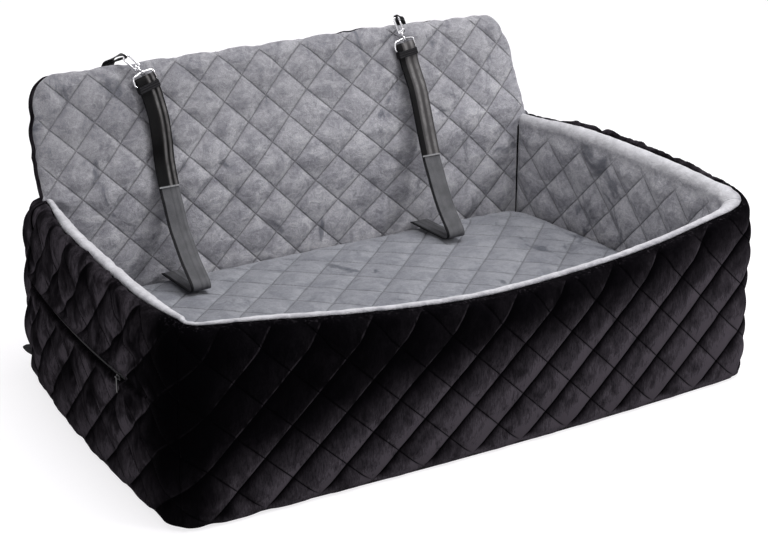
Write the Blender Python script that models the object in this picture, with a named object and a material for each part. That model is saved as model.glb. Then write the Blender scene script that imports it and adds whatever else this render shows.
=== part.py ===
# Quilted car carrier for a large dog: a padded box bed with a folding backrest panel.
# Metres, +Z up, +Y to the rear, origin on the floor under the middle of the bed.

import bpy
import bmesh
from math import asin, atan, ceil, cos, pi, radians, sin, sqrt
from mathutils import Matrix, Vector

for old in list(bpy.data.objects):
    bpy.data.objects.remove(old, do_unlink=True)

# Box in plan: corners rounded, front and sides bowed outwards, wider at the front than at the rear
HALF_W_FRONT = 0.584
HALF_W_REAR = 0.555
HALF_D = 0.361
CORNER_R = 0.055
CORNER_OUT = 0.0055
CORNER_STEP = 0.0175
SIDE_BOW = 0.019
FRONT_BOW = 0.016
REAR_BOW = 0.004

# Walls
RIM_H = 0.356
FRONT_DIP = 0.063
DIP_POWER = 0.9
FRONT_LEAN = 0.020
REAR_DROP = 0.012
REAR_SEAM_Y = 0.2867
REAR_CREST = 0.044
PUFF = 0.006
WALL = 0.050
CREST_RISE = 0.045
CREST_MID = 0.0213
LIP_DROP = 0.022
SKIN = 0.003
GAP = 0.0005
FOAM_GAP = 0.0012
HIDE = SKIN + FOAM_GAP
FLOOR_GAP = 0.0045
REAR_LINING_Y = 0.2905
REAR_LINING_T = 0.0100
REAR_LINING_HALF = 0.5030
SIDE_LINING_REAR = 0.2770

# Quilting: square cells on their corner, sewn along both diagonals
CELL_X = 0.099
PANEL_CELL = (0.0880, 0.0905)
PANEL_CROSSING = (-0.0165, 0.0735)
WALL_CELLS = 3
LINING_CELLS = 2
CELL_STEPS = 2
LINING_FOOT = 0.122
QUILT_OUT = 0.006
QUILT_IN = 0.006

# Base and seat cushion
SHEET_T = 0.003
BOARD_TOP = 0.028
SEAT_BOTTOM = 0.0290
SEAT_TOP = 0.158
SEAT_CROWN = 0.012
SEAT_HALF_X = 0.507
SEAT_TAPER = 0.012
SEAT_BOW_X = 0.018
SEAT_FRONT = -0.302
SEAT_REAR = 0.279
SEAT_FRONT_BOW = 0.014
SEAT_CORNER = 0.045
SEAT_WAIST = 0.008
SEAT_QUILT = 0.006
SEAT_CELLS = (10, 12)
SEAT_WADDING = 0.014

# Backrest panel, in its own frame: x across, y towards the rear, z up the panel from the fold
FOLD_Y = 0.2905
FOLD_Z = 0.3590
RECLINE = 15.0
PANEL_HALF = 0.525
PANEL_L = 0.217
PANEL_T = 0.034
PANEL_CORNER = 0.042
PANEL_FOOT_CORNER = 0.006
PANEL_EDGE = 0.015

# Snap hooks and rings
WIRE_R = 0.0020
RING_HALF = 0.0235
RING_H = 0.0215
HOOK_N = 0.0155
HOOK_L = 0.0438
RAIL = 0.0058
EYE_R = 0.0048
EYE_WIRE = 0.0016
EYE_Z = -0.0007
NOSE_H = HOOK_L - RAIL
SIDES = {
    "left": {"sign": -1, "eye_x": -0.3115, "eye_t": 0.198, "hook_lean": 42.0, "ring_lean": 16.0},
    "right": {"sign": 1, "eye_x": 0.2500, "eye_t": 0.187, "hook_lean": 14.0, "ring_lean": 8.0},
}

# Tethers
TETHER_W = 0.040
TETHER_T = 0.0018
TETHER_PLY_GAP = 0.0005
TAIL_L = {"left": 0.205, "right": 0.150}

# Headrest straps and buckles behind the panel
STRAP_W = 0.025
STRAP_T = 0.0016
STRAP_Y = 0.0442
STRAP_OUT = 0.075
LOOP_HALF = 0.012
LOOP_THROAT = 0.0018

# Side zips
ZIP_Z = 0.205
ZIP_HALF = 0.0065
ZIP_FRONT = -0.180
ZIP_REAR = 0.290
ZIP_CLEAR = 0.020

BLACK = (0.012, 0.011, 0.013)
GREY = (0.26, 0.26, 0.28)
PALE = (0.55, 0.55, 0.57)
WEB = (0.030, 0.028, 0.028)
CHROME = (0.75, 0.75, 0.77)
FOAM = (0.78, 0.76, 0.68)


# Materials and objects

def material(name, colour, roughness, metallic=0.0):
    mat = bpy.data.materials.get(name) or bpy.data.materials.new(name)
    mat.use_nodes = True
    shader = mat.node_tree.nodes["Principled BSDF"]
    shader.inputs["Base Color"].default_value = (*colour, 1.0)
    shader.inputs["Roughness"].default_value = roughness
    shader.inputs["Metallic"].default_value = metallic
    mat.diffuse_color = (*colour, 1.0)
    return mat


FINISH = {
    "velour": (BLACK, 0.75, 0.0),
    "plush": (GREY, 0.90, 0.0),
    "anti_slip": (BLACK, 0.95, 0.0),
    "foam": (FOAM, 0.95, 0.0),
    "webbing": (WEB, 0.55, 0.0),
    "steel": (CHROME, 0.15, 1.0),
    "plastic": (BLACK, 0.35, 0.0),
    "zip_metal": ((0.05, 0.05, 0.05), 0.35, 1.0),
}


def place(name, bm, finish, parent=None, smooth=35.0):
    bmesh.ops.recalc_face_normals(bm, faces=bm.faces)
    mesh = bpy.data.meshes.new(name)
    bm.to_mesh(mesh)
    bm.free()
    if smooth:
        mesh.shade_smooth()
        mesh.set_sharp_from_angle(angle=radians(smooth))
    colour, roughness, metallic = FINISH[finish]
    mesh.materials.append(material(name, colour, roughness, metallic))
    obj = bpy.data.objects.new(name, mesh)
    bpy.context.collection.objects.link(obj)
    obj.parent = parent
    return obj


def combine(obj, operation, *tools):
    # applies a Boolean with each tool, then removes the tool
    for tool in tools:
        mod = obj.modifiers.new("cut", "BOOLEAN")
        mod.operation = operation
        mod.solver = "EXACT"
        mod.object = tool
        bpy.context.view_layer.update()
        graph = bpy.context.evaluated_depsgraph_get()
        mesh = bpy.data.meshes.new_from_object(obj.evaluated_get(graph))
        mesh.name = obj.name
        obj.modifiers.clear()
        obj.data = mesh
        bpy.data.objects.remove(tool, do_unlink=True)
    return obj


# Plan outline: eight arcs, run anticlockwise from the rear end of the left side

def bowed_arc(along, bow):
    radius = (along ** 2 + bow ** 2) / (2 * bow)
    return radius, asin(along / radius)


FRONT_X = HALF_W_FRONT - CORNER_R
REAR_X = HALF_W_REAR - CORNER_R
CORE_Y = HALF_D - CORNER_R
SIDE_TURN = atan((FRONT_X - REAR_X) / (2 * CORE_Y))
SIDE_R, SIDE_A = bowed_arc(CORE_Y / cos(SIDE_TURN), SIDE_BOW)
FRONT_R, FRONT_A = bowed_arc(FRONT_X, FRONT_BOW)
REAR_R, REAR_A = bowed_arc(REAR_X, REAR_BOW)
SIDE_CX = (FRONT_X + REAR_X) / 2 + (SIDE_BOW - SIDE_R) * cos(SIDE_TURN)
SIDE_CY = (SIDE_BOW - SIDE_R) * sin(SIDE_TURN)
SIDE_FROM = SIDE_TURN - SIDE_A
SIDE_TO = SIDE_TURN + SIDE_A
ARCS = [
    (-SIDE_CX, SIDE_CY, SIDE_R + CORNER_R, pi - SIDE_TO, pi - SIDE_FROM),
    (-FRONT_X, -CORE_Y, CORNER_R, pi - SIDE_FROM, 1.5 * pi - FRONT_A),
    (0.0, -CORE_Y - FRONT_BOW + FRONT_R, FRONT_R + CORNER_R, 1.5 * pi - FRONT_A, 1.5 * pi + FRONT_A),
    (FRONT_X, -CORE_Y, CORNER_R, 1.5 * pi + FRONT_A, 2 * pi + SIDE_FROM),
    (SIDE_CX, SIDE_CY, SIDE_R + CORNER_R, 2 * pi + SIDE_FROM, 2 * pi + SIDE_TO),
    (REAR_X, CORE_Y, CORNER_R, 2 * pi + SIDE_TO, 2.5 * pi - REAR_A),
    (0.0, CORE_Y + REAR_BOW - REAR_R, REAR_R + CORNER_R, 2.5 * pi - REAR_A, 2.5 * pi + REAR_A),
    (-REAR_X, CORE_Y, CORNER_R, 2.5 * pi + REAR_A, 3 * pi - SIDE_TO),
]
LENGTHS = [r * (b - a) for cx, cy, r, a, b in ARCS]
STARTS = [sum(LENGTHS[:i]) for i in range(len(ARCS) + 1)]
LEFT, FRONT_LEFT, FRONT, FRONT_RIGHT, RIGHT, REAR_RIGHT, REAR, REAR_LEFT = range(8)


def middle(arc_index):
    return (STARTS[arc_index] + STARTS[arc_index + 1]) / 2


def station(s):
    # the arc centre, radius and angle at outline length s, the padded corners standing out a little
    s = s % STARTS[-1]
    index = max(i for i in range(8) if STARTS[i] <= s + 1e-9)
    cx, cy, r, a, b = ARCS[index]
    out = CORNER_OUT * sin(pi * (s - STARTS[index]) / LENGTHS[index]) ** 2 if index % 2 else 0.0
    return cx, cy, r + out, a + (s - STARTS[index]) / r


def plan(s, inset):
    cx, cy, r, angle = station(s)
    return cx + (r - inset) * cos(angle), cy + (r - inset) * sin(angle)


def smooth_step(value, low, high):
    t = min(1.0, max(0.0, (value - low) / (high - low)))
    return t * t * (3 - 2 * t)


def across_front(x):
    # 1 in the middle of the front and 0 at its corners
    return max(0.0, cos(pi * x / (2 * HALF_W_FRONT)))


def rim_height(s):
    x, y = plan(s, 0.0)
    if y > REAR_SEAM_Y:
        return RIM_H - REAR_DROP
    return RIM_H - (FRONT_DIP * across_front(x) ** DIP_POWER if y < 0 else 0.0)


def lean(s, z):
    # the front wall bows further out towards its rim
    x, y = plan(s, 0.0)
    if y > 0:
        return 0.0
    return FRONT_LEAN * (z / RIM_H) ** 2 * across_front(x) ** 2


def puff(s, z):
    return PUFF * sin(pi * min(1.0, z / rim_height(s)))


def at(s, inset, z):
    x, y = plan(s, inset - lean(s, z))
    return Vector((x, y, z))


# Quilting relief

def quilt(u, v):
    # 0 on the sewn lines and 1 in mid cell, for a place counted in cells from a crossing
    a = u + v
    b = u - v
    fa = abs(2 * (a - round(a)))
    fb = abs(2 * (b - round(b)))
    return (1 - (1 - fa) ** 2) * (1 - (1 - fb) ** 2)


def add_front(bm, grid, relief):
    # two triangles a cell, cut along whichever diagonal lies on a sewn line
    for i in range(len(grid) - 1):
        for j in range(len(grid[i]) - 1):
            a, b, c, d = grid[i][j], grid[i + 1][j], grid[i + 1][j + 1], grid[i][j + 1]
            if relief is None:
                bm.faces.new((a, b, c, d))
                continue
            ra, rb, rc, rd = relief[i][j], relief[i + 1][j], relief[i + 1][j + 1], relief[i][j + 1]
            if ra + rc <= rb + rd:
                bm.faces.new((a, b, c))
                bm.faces.new((a, c, d))
            else:
                bm.faces.new((a, b, d))
                bm.faces.new((b, c, d))


def band_solid(front, back, relief):
    # front and back are grids of points with the same columns and any rows
    bm = bmesh.new()
    f = [[bm.verts.new(p) for p in col] for col in front]
    b = [[bm.verts.new(p) for p in col] for col in back]
    add_front(bm, f, relief)
    for i in range(len(f) - 1):
        for j in range(len(b[i]) - 1):
            bm.faces.new((b[i][j], b[i][j + 1], b[i + 1][j + 1], b[i + 1][j]))
        bm.faces.new((f[i][0], b[i][0], b[i + 1][0], f[i + 1][0]))
        bm.faces.new((f[i][-1], f[i + 1][-1], b[i + 1][-1], b[i][-1]))
    bm.faces.new(f[0] + b[0][::-1])
    bm.faces.new(b[-1] + f[-1][::-1])
    return bm


def spaced(start, stop, step):
    count = max(1, ceil((stop - start) / step - 1e-6))
    return [start + (stop - start) * k / count for k in range(count + 1)]


# Wall covers

def wall_columns(arc_index, start, stop, step):
    # quilting columns along a bowed side, with finer ones round the corners
    low, high = STARTS[arc_index], STARTS[arc_index + 1]
    anchor = (low + high) / 2
    cols = spaced(start, low, CORNER_STEP) if start < low - 1e-6 else [start]
    first = ceil((cols[-1] - anchor) / step + 0.2)
    end = min(stop, high)
    cols += [anchor + k * step for k in range(first, -first + 1) if anchor + k * step < end - 0.2 * step]
    cols.append(end)
    if stop > high + 1e-6:
        cols += spaced(high, stop, CORNER_STEP)[1:]
    return cols


def face_rows(zipped):
    count = WALL_CELLS * CELL_STEPS
    rows = [k / count for k in range(count + 1)]
    if zipped:
        low, high = FLOOR_GAP, RIM_H - CREST_RISE
        band = [(z - low) / (high - low) for z in (ZIP_Z - ZIP_CLEAR * 0.7, ZIP_Z, ZIP_Z + ZIP_CLEAR * 0.7)]
        rows = sorted([r for r in rows if abs(r - band[1]) > 0.05] + band)
    return rows


def cover(name, arc_index, start, stop, zipped=False, crest=CREST_MID):
    anchor = middle(arc_index)
    front, back, relief = [], [], []
    for s in wall_columns(arc_index, start, stop, CELL_X / CELL_STEPS):
        top = rim_height(s) - CREST_RISE
        fade = smooth_step(min(s - start, stop - s), 0.02, 0.09)
        points, values = [], []
        for r in face_rows(zipped):
            z = FLOOR_GAP + (top - FLOOR_GAP) * r
            edge = min(1.0, r / 0.08, (1 - r) / 0.08)
            if zipped and abs(z - ZIP_Z) < ZIP_CLEAR:
                edge = 0.0
            value = quilt((s - anchor) / CELL_X + 0.5, r * WALL_CELLS) * fade * edge
            values.append(value)
            points.append(at(s, -puff(s, z) - QUILT_OUT * value, z))
        rear = [at(s, SKIN - puff(s, FLOOR_GAP + (top - FLOOR_GAP) * r),
                   FLOOR_GAP + (top - FLOOR_GAP) * r) for r in (0, 0.35, 0.7, 1)]
        bulge = puff(s, top)
        for k in (1, 2, 3):
            phi = k * pi / 6
            points.append(at(s, (crest + bulge) * (1 - cos(phi)) - bulge, top + CREST_RISE * sin(phi)))
            rear.append(at(s, SKIN - bulge + (crest + bulge - SKIN) * (1 - cos(phi)),
                           top + (CREST_RISE - SKIN) * sin(phi)))
            values.append(0.0)
        front.append(points)
        back.append(rear)
        relief.append(values)
    place(name, band_solid(front, back, relief), "velour")


def side_station(y, inset=0.0):
    # outline length on the left side at a given y
    radius = SIDE_R + CORNER_R
    return STARTS[LEFT] + radius * (SIDE_TO - asin((y - SIDE_CY) / (radius - inset)))


def mirror_station(s):
    # the station across the bed
    return 2 * middle(FRONT) - s


def outer_covers():
    half = GAP / 2
    left_end = side_station(REAR_SEAM_Y - half)
    corner_left = middle(FRONT_LEFT)
    corner_right = middle(FRONT_RIGHT)
    cover("front_cover", FRONT, corner_left + half, corner_right - half)
    cover("left_cover", LEFT, left_end, corner_left - half, zipped=True)
    cover("right_cover", RIGHT, corner_right + half, mirror_station(left_end), zipped=True)
    rear_end = side_station(REAR_SEAM_Y + half)
    rear_cover(mirror_station(rear_end), rear_end + STARTS[-1])


def rear_cover(start, stop):
    cover("rear_cover", REAR, start, stop, crest=REAR_CREST)


# Wall linings

LIP = WALL - 0.004 - CREST_MID


def lining(name, arc_index, start, stop, low=BOARD_TOP + 0.001):
    anchor = middle(arc_index)
    front, back, relief = [], [], []
    lip_start = CREST_MID + GAP
    rows = LINING_CELLS * CELL_STEPS
    for s in wall_columns(arc_index, start, stop, CELL_X / CELL_STEPS):
        top = rim_height(s) - LIP_DROP
        fade = smooth_step(min(s - start, stop - s), 0.015, 0.07)
        points, values, rear = [], [], []
        for k in (0, 1, 2):
            psi = k * pi / 6
            points.append(at(s, lip_start + LIP * sin(psi), top + LIP_DROP * cos(psi)))
            rear.append(at(s, lip_start + (LIP - SKIN) * sin(psi), top + (LIP_DROP - SKIN) * cos(psi)))
            values.append(0.0)
        for k in range(rows + 2):
            r = min(1.0, k / rows)
            z = top + (LINING_FOOT - top) * r if k <= rows else low
            value = quilt((s - anchor) / CELL_X, r * LINING_CELLS) * fade if 0 < k < rows else 0.0
            inset = lip_start + LIP + (WALL - lip_start - LIP) * (top - z) / (top - low)
            values.append(value)
            points.append(at(s, inset + QUILT_IN * value, z))
        for r in (0.0, 0.33, 0.67, 1.0):
            z = top + (low - top) * r
            rear.append(at(s, lip_start + LIP - SKIN + (WALL - lip_start - LIP) * r, z))
        front.append(points)
        back.append(rear)
        relief.append(values)
    place(name, band_solid(front, back, relief), "plush")


def linings():
    half = GAP / 2
    rear_end = side_station(SIDE_LINING_REAR, WALL)
    corner_left = middle(FRONT_LEFT)
    corner_right = middle(FRONT_RIGHT)
    lining("left_lining", LEFT, rear_end, corner_left - half)
    lining("front_lining", FRONT, corner_left + half, corner_right - half)
    lining("right_lining", RIGHT, corner_right + half, mirror_station(rear_end))


def lattice_lines(start, step, low, high):
    # lines a step apart, one of them at start, between low and high
    return [start + k * step for k in range(ceil((low - start) / step), ceil((high - start) / step))]


def panel_quilt(x, t):
    return quilt((x - PANEL_CROSSING[0]) / PANEL_CELL[0], (t - PANEL_CROSSING[1]) / PANEL_CELL[1])


def rear_lining():
    # a flat quilted wall face from the base board up to the fold
    half = REAR_LINING_HALF
    top = FOLD_Z - 0.0015
    low = BOARD_TOP + 0.001
    step_x, step_z = PANEL_CELL[0] / CELL_STEPS, PANEL_CELL[1] / CELL_STEPS
    across = lattice_lines(PANEL_CROSSING[0], step_x, 0.2 * step_x - half, half - 0.2 * step_x)
    up = lattice_lines(FOLD_Z + PANEL_CROSSING[1], step_z, LINING_FOOT, top - 0.2 * step_z)
    xs = [-half] + across + [half]
    zs = [low] + up + [top]
    front, relief = [], []
    for x in xs:
        fade = smooth_step(half - abs(x), 0.02, 0.06)
        values = [panel_quilt(x, z - FOLD_Z) * fade * smooth_step(z, 0.140, 0.150) * (z < top) for z in zs]
        front.append([Vector((x, REAR_LINING_Y - QUILT_IN * v, z)) for z, v in zip(zs, values)])
        relief.append(values)
    back = [[Vector((x, REAR_LINING_Y + REAR_LINING_T, z)) for z in (low, top - 0.003)] for x in xs]
    place("rear_lining", band_solid(front, back, relief), "plush")


# Foam cores

def sweep_profile(columns):
    # joins closed sections, one per column, and caps both ends
    bm = bmesh.new()
    rings = [[bm.verts.new(p) for p in col] for col in columns]
    n = len(rings[0])
    for i in range(len(rings) - 1):
        for j in range(n):
            k = (j + 1) % n
            bm.faces.new((rings[i][j], rings[i + 1][j], rings[i + 1][k], rings[i][k]))
    bm.faces.new(rings[0][::-1])
    bm.faces.new(rings[-1])
    return bm


def wall_section(s):
    low = BOARD_TOP + 0.001
    high = rim_height(s)
    top = high - CREST_RISE
    bulge = puff(s, top)
    inner_top = CREST_MID + GAP + LIP - HIDE
    inner_low = WALL - HIDE - GAP
    points = [at(s, HIDE - puff(s, z), z) for z in (low, low + (top - low) * 0.5, top)]
    for k in (1, 2):
        phi = k * pi / 6
        inset = HIDE - bulge + (CREST_MID + bulge - HIDE) * (1 - cos(phi))
        points.append(at(s, inset, top + (CREST_RISE - HIDE) * sin(phi)))
    lip = high - LIP_DROP
    points.append(at(s, CREST_MID, high - HIDE))
    points.append(at(s, CREST_MID + (inner_top - CREST_MID) * 0.7, lip + (LIP_DROP - HIDE) * 0.6))
    points.append(at(s, inner_top, lip - 0.002))
    points.append(at(s, (inner_top + inner_low) / 2, (lip + low) / 2))
    points.append(at(s, inner_low, low))
    return points


def foam_cores():
    corner = 0.0006
    rear_end = side_station(REAR_SEAM_Y - 0.0020)
    corner_left = middle(FRONT_LEFT)
    corner_right = middle(FRONT_RIGHT)
    runs = {
        "left_wall_foam": (LEFT, rear_end, corner_left - corner),
        "front_wall_foam": (FRONT, corner_left + corner, corner_right - corner),
        "right_wall_foam": (RIGHT, corner_right + corner, mirror_station(rear_end)),
    }
    for name, (arc_index, start, stop) in runs.items():
        cols = wall_columns(arc_index, start, stop, 0.075)
        place(name, sweep_profile([wall_section(s) for s in cols]), "foam", smooth=0)
    rear_wall_foam()


def rear_wall_foam():
    front_y = REAR_LINING_Y + REAR_LINING_T + 0.001
    low = BOARD_TOP + 0.001
    high = RIM_H - REAR_DROP - HIDE
    start = STARTS[REAR_RIGHT] - 0.0005
    stop = STARTS[REAR_LEFT + 1] + 0.0005
    stations = wall_columns(REAR, start, stop, 0.11)
    levels = ((HIDE + GAP, low), (HIDE + GAP, high - CREST_RISE), (0.013, high - 0.019), (0.040, high - 0.001))
    bm = bmesh.new()
    rings = []
    for inset, z in levels:
        cols = [plan(s, inset) for s in stations]
        outline = [(cols[0][0], front_y)] + cols + [(cols[-1][0], front_y)]
        rings.append([bm.verts.new((x, y, z)) for x, y in outline])
    n = len(rings[0])
    for below, above in zip(rings, rings[1:]):
        for j in range(n):
            k = (j + 1) % n
            bm.faces.new((below[j], below[k], above[k], above[j]))
    bm.faces.new(rings[0][::-1])
    bm.faces.new(rings[-1])
    place("rear_wall_foam", bm, "foam", smooth=0)


# Base

def base():
    for name, inset, low, high, finish in (
            ("base_sheet", 0.0010, 0.0, SHEET_T, "anti_slip"),
            ("base_board", SKIN + FOAM_GAP + 0.0008, SHEET_T + GAP, BOARD_TOP, "foam")):
        bm = bmesh.new()
        stations = [s for i in range(8) for s in spaced(STARTS[i], STARTS[i + 1], 0.02 if i % 2 else 0.16)[:-1]]
        outline = [plan(s, inset) for s in stations]
        face = bm.faces.new([bm.verts.new((x, y, low)) for x, y in outline])
        grown = bmesh.ops.extrude_face_region(bm, geom=[face])["geom"]
        bmesh.ops.translate(bm, vec=(0, 0, high - low), verts=[g for g in grown if isinstance(g, bmesh.types.BMVert)])
        place(name, bm, finish)


# Trays: a quilted top with its edge turned down, open towards the core

def border(grid):
    # the grid's outer loop, anticlockwise from its first corner
    right = [col[0] for col in grid]
    up = grid[-1][1:]
    left = [col[-1] for col in grid[-2::-1]]
    down = grid[0][-2:0:-1]
    return right + list(up) + left + list(down)


def inset_loop(points, distance, axis_a, axis_b):
    # moves a loop inwards in the plane of two axes
    result = []
    n = len(points)
    for i, p in enumerate(points):
        before, after = points[i - 1], points[(i + 1) % n]
        along = Vector((after[axis_a] - before[axis_a], after[axis_b] - before[axis_b])).normalized()
        q = p.copy()
        q[axis_a] -= along.y * distance
        q[axis_b] += along.x * distance
        result.append(q)
    return result


def tray_solid(grid, relief, rings):
    bm = bmesh.new()
    f = [[bm.verts.new(p) for p in col] for col in grid]
    add_front(bm, f, relief)
    loop = border(f)
    for ring in rings:
        nxt = [bm.verts.new(p) for p in ring]
        n = len(loop)
        for j in range(n):
            k = (j + 1) % n
            bm.faces.new((loop[k], loop[j], nxt[j], nxt[k]))
        loop = nxt
    bm.faces.new(loop)
    return bm


# Seat cushion

def seat_plan(u, v):
    # u and v run from -1 to 1 across and along the cushion
    middle_y = (SEAT_FRONT + SEAT_REAR) / 2
    half_y = (SEAT_REAR - SEAT_FRONT) / 2
    near = max(0.0, half_y * abs(v) - (half_y - SEAT_CORNER))
    half_x = SEAT_HALF_X - SEAT_TAPER * v + SEAT_BOW_X * (1 - v * v)
    half_x -= SEAT_CORNER - sqrt(max(0.0, SEAT_CORNER ** 2 - near ** 2))
    y = middle_y + half_y * v
    if v < 0:
        y -= SEAT_FRONT_BOW * (1 - u * u) * v * v
    return u * half_x, y


def seat_loop(level, shrink, us, vs):
    grid = [[Vector((*seat_plan(u, v), level)) for v in vs] for u in us]
    return inset_loop(border(grid), shrink, 0, 1)


def seat_cushion():
    across, along = SEAT_CELLS
    us = [k / across for k in range(-across, across + 1)]
    vs = [2 * k / along - 1 for k in range(along + 1)]
    us = [-1.0, -0.975] + us[1:-1] + [0.975, 1.0]
    vs = [-1.0, -0.96] + vs[1:-1] + [0.96, 1.0]
    grid, relief = [], []
    for u in us:
        points, values = [], []
        for v in vs:
            x, y = seat_plan(u, v)
            crown = SEAT_CROWN * ((1 - u * u) * (1 - v * v)) ** 0.6
            inside = 1 - max(abs(u), abs(v))
            value = quilt(u * across / 2, (v + 1) * along / 4) * smooth_step(inside, 0.01, 0.08)
            drop = 0.009 if inside < 0.001 else 0.0
            values.append(value)
            points.append(Vector((x, y, SEAT_TOP + crown + SEAT_QUILT * value - drop)))
        grid.append(points)
        relief.append(values)
    waist = (SEAT_TOP + SEAT_BOTTOM) / 2
    foot = SEAT_BOTTOM + 0.0030
    rings = [
        seat_loop(SEAT_TOP - 0.030, 0.003, us, vs),
        seat_loop(waist, SEAT_WAIST, us, vs),
        seat_loop(foot, 0.006, us, vs),
        seat_loop(SEAT_TOP - SEAT_WADDING, 0.015, us, vs),
    ]
    place("seat_cushion_top_cover", tray_solid(grid, relief, rings), "plush")
    flat_block("seat_cushion_underside", seat_loop(SEAT_BOTTOM, 0.007, us, vs), 0.0025, "velour")
    flat_block("seat_cushion_foam", seat_loop(foot, 0.019, us, vs), SEAT_TOP - SEAT_WADDING - GAP - foot, "foam")


def flat_block(name, loop, height, finish, parent=None):
    bm = bmesh.new()
    face = bm.faces.new([bm.verts.new(p) for p in loop])
    grown = bmesh.ops.extrude_face_region(bm, geom=[face])["geom"]
    bmesh.ops.translate(bm, vec=(0, 0, height), verts=[g for g in grown if isinstance(g, bmesh.types.BMVert)])
    return place(name, bm, finish, parent)


# Backrest panel

def panel_grid():
    # lines of the quilting, with extra ones near the edges for their rounding
    step_x, step_z = PANEL_CELL[0] / CELL_STEPS, PANEL_CELL[1] / CELL_STEPS
    reach = 1.3 * PANEL_EDGE
    edges = [0.0, PANEL_EDGE / 3, PANEL_EDGE]
    across = lattice_lines(PANEL_CROSSING[0], step_x, reach - PANEL_HALF, PANEL_HALF - reach)
    up = lattice_lines(PANEL_CROSSING[1], step_z, reach, PANEL_L - reach)
    xs = [e - PANEL_HALF for e in edges] + across + [PANEL_HALF - e for e in reversed(edges)]
    zs = edges + up + [PANEL_L - e for e in reversed(edges)]
    return xs, zs


def panel_x(x, z, r_top=PANEL_CORNER, r_low=PANEL_FOOT_CORNER):
    # rounds the panel's corners by narrowing its rows near the top and the foot
    near_top = max(0.0, z - (PANEL_L - r_top))
    near_low = max(0.0, r_low - z)
    half = PANEL_HALF - r_top + sqrt(max(0.0, r_top ** 2 - near_top ** 2))
    half -= r_low - sqrt(max(0.0, r_low ** 2 - near_low ** 2))
    return x * half / PANEL_HALF


def panel_cover(name, parent, facing, puffed, finish, far):
    # facing is -1 for the front cover and 1 for the rear one, far is where its lip ends
    xs, zs = panel_grid()
    face_y = 0.0 if facing < 0 else PANEL_T
    foot_ease = 0.007 if facing < 0 else 0.0
    grid, relief = [], []
    for x in xs:
        points, values = [], []
        for z in zs:
            d = min(PANEL_HALF - abs(x), z + foot_ease, PANEL_L - z)
            round_off = 0.010 * (1 - sqrt(max(0.0, 1 - (1 - min(1.0, d / PANEL_EDGE)) ** 2)))
            value = panel_quilt(x, z) * smooth_step(min(d, z), 0.010, 0.045)
            values.append(value)
            points.append(Vector((panel_x(x, z), face_y - facing * (round_off - puffed * value), z)))
        grid.append(points)
        relief.append(values)
    outer = border(grid)
    lip = [Vector((p.x, far, p.z)) for p in outer]
    inner_lip = inset_loop(lip, SKIN, 0, 2)
    bed_y = face_y - facing * (SKIN + 0.008)
    inner_bed = [Vector((p.x, bed_y, p.z)) for p in inset_loop(lip, SKIN + 0.001, 0, 2)]
    return place(name, tray_solid(grid, relief, [lip, inner_lip, inner_bed]), finish, parent)


def backrest(parent):
    seam = PANEL_T * 0.5
    panel_cover("backrest_front_cover", parent, -1, QUILT_IN, "plush", seam - GAP / 2)
    panel_cover("backrest_rear_cover", parent, 1, 0.004, "velour", seam + GAP / 2)
    xs, zs = panel_grid()
    loop = border([[Vector((panel_x(x, z), 0.0, z)) for z in zs] for x in xs])
    loop = inset_loop(loop, SKIN + 0.0022, 0, 2)
    bm = bmesh.new()
    start = SKIN + 0.008 + 0.0004
    near = [bm.verts.new((p.x, start, p.z)) for p in loop]
    away = [bm.verts.new((p.x, PANEL_T - start, p.z)) for p in loop]
    n = len(loop)
    for j in range(n):
        k = (j + 1) % n
        bm.faces.new((near[j], near[k], away[k], away[j]))
    bm.faces.new(near[::-1])
    bm.faces.new(away)
    place("backrest_foam", bm, "foam", parent, smooth=0)


# Wire, strips and small blocks

def tube(points, radius, sides=8, closed=False):
    bm = bmesh.new()
    n = len(points)
    rings = []
    normal = None
    for i, p in enumerate(points):
        before = points[i - 1] if closed or i > 0 else p
        after = points[(i + 1) % n] if closed or i < n - 1 else p
        tangent = (after - before).normalized()
        if normal is None:
            normal = tangent.orthogonal().normalized()
        normal = (normal - tangent * normal.dot(tangent)).normalized()
        other = tangent.cross(normal)
        angles = [2 * pi * k / sides for k in range(sides)]
        rings.append([bm.verts.new(p + radius * (cos(a) * normal + sin(a) * other)) for a in angles])
    pairs = list(zip(rings, rings[1:])) + ([(rings[-1], rings[0])] if closed else [])
    for ring, nxt in pairs:
        for j in range(sides):
            k = (j + 1) % sides
            bm.faces.new((ring[j], ring[k], nxt[k], nxt[j]))
    if not closed:
        bm.faces.new(rings[0][::-1])
        bm.faces.new(rings[-1])
    return bm


def strip(centres, widths, thickness):
    # a flat band along centre points, with a half-width vector at each
    sections = []
    n = len(centres)
    for i, c in enumerate(centres):
        tangent = (centres[min(i + 1, n - 1)] - centres[max(i - 1, 0)]).normalized()
        w = widths[i]
        t = tangent.cross(w).normalized() * thickness / 2
        sections.append([c - w - t, c + w - t, c + w + t, c - w + t])
    return sweep_profile(sections)


def smooth_path(points, spacing):
    # a Catmull-Rom curve through the points
    result = []
    for i in range(len(points) - 1):
        p0 = points[max(i - 1, 0)]
        p1, p2 = points[i], points[i + 1]
        p3 = points[min(i + 2, len(points) - 1)]
        count = max(2, round((p2 - p1).length / spacing))
        for k in range(count):
            t = k / count
            result.append(0.5 * (2 * p1 + (p2 - p0) * t + (2 * p0 - 5 * p1 + 4 * p2 - p3) * t * t
                                 + (3 * p1 - p0 - 3 * p2 + p3) * t ** 3))
    return result + [points[-1].copy()]


def fillet(points, radius, segments=4):
    # rounds each corner of a closed outline
    result = []
    n = len(points)
    for i, p in enumerate(points):
        a = (points[i - 1] - p).normalized()
        b = (points[(i + 1) % n] - p).normalized()
        reach = min(radius, (points[i - 1] - p).length / 2.2, (points[(i + 1) % n] - p).length / 2.2)
        start, end = p + a * reach, p + b * reach
        for k in range(segments + 1):
            t = k / segments
            result.append(start * (1 - t) ** 2 + p * 2 * t * (1 - t) + end * t * t)
    return result


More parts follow.
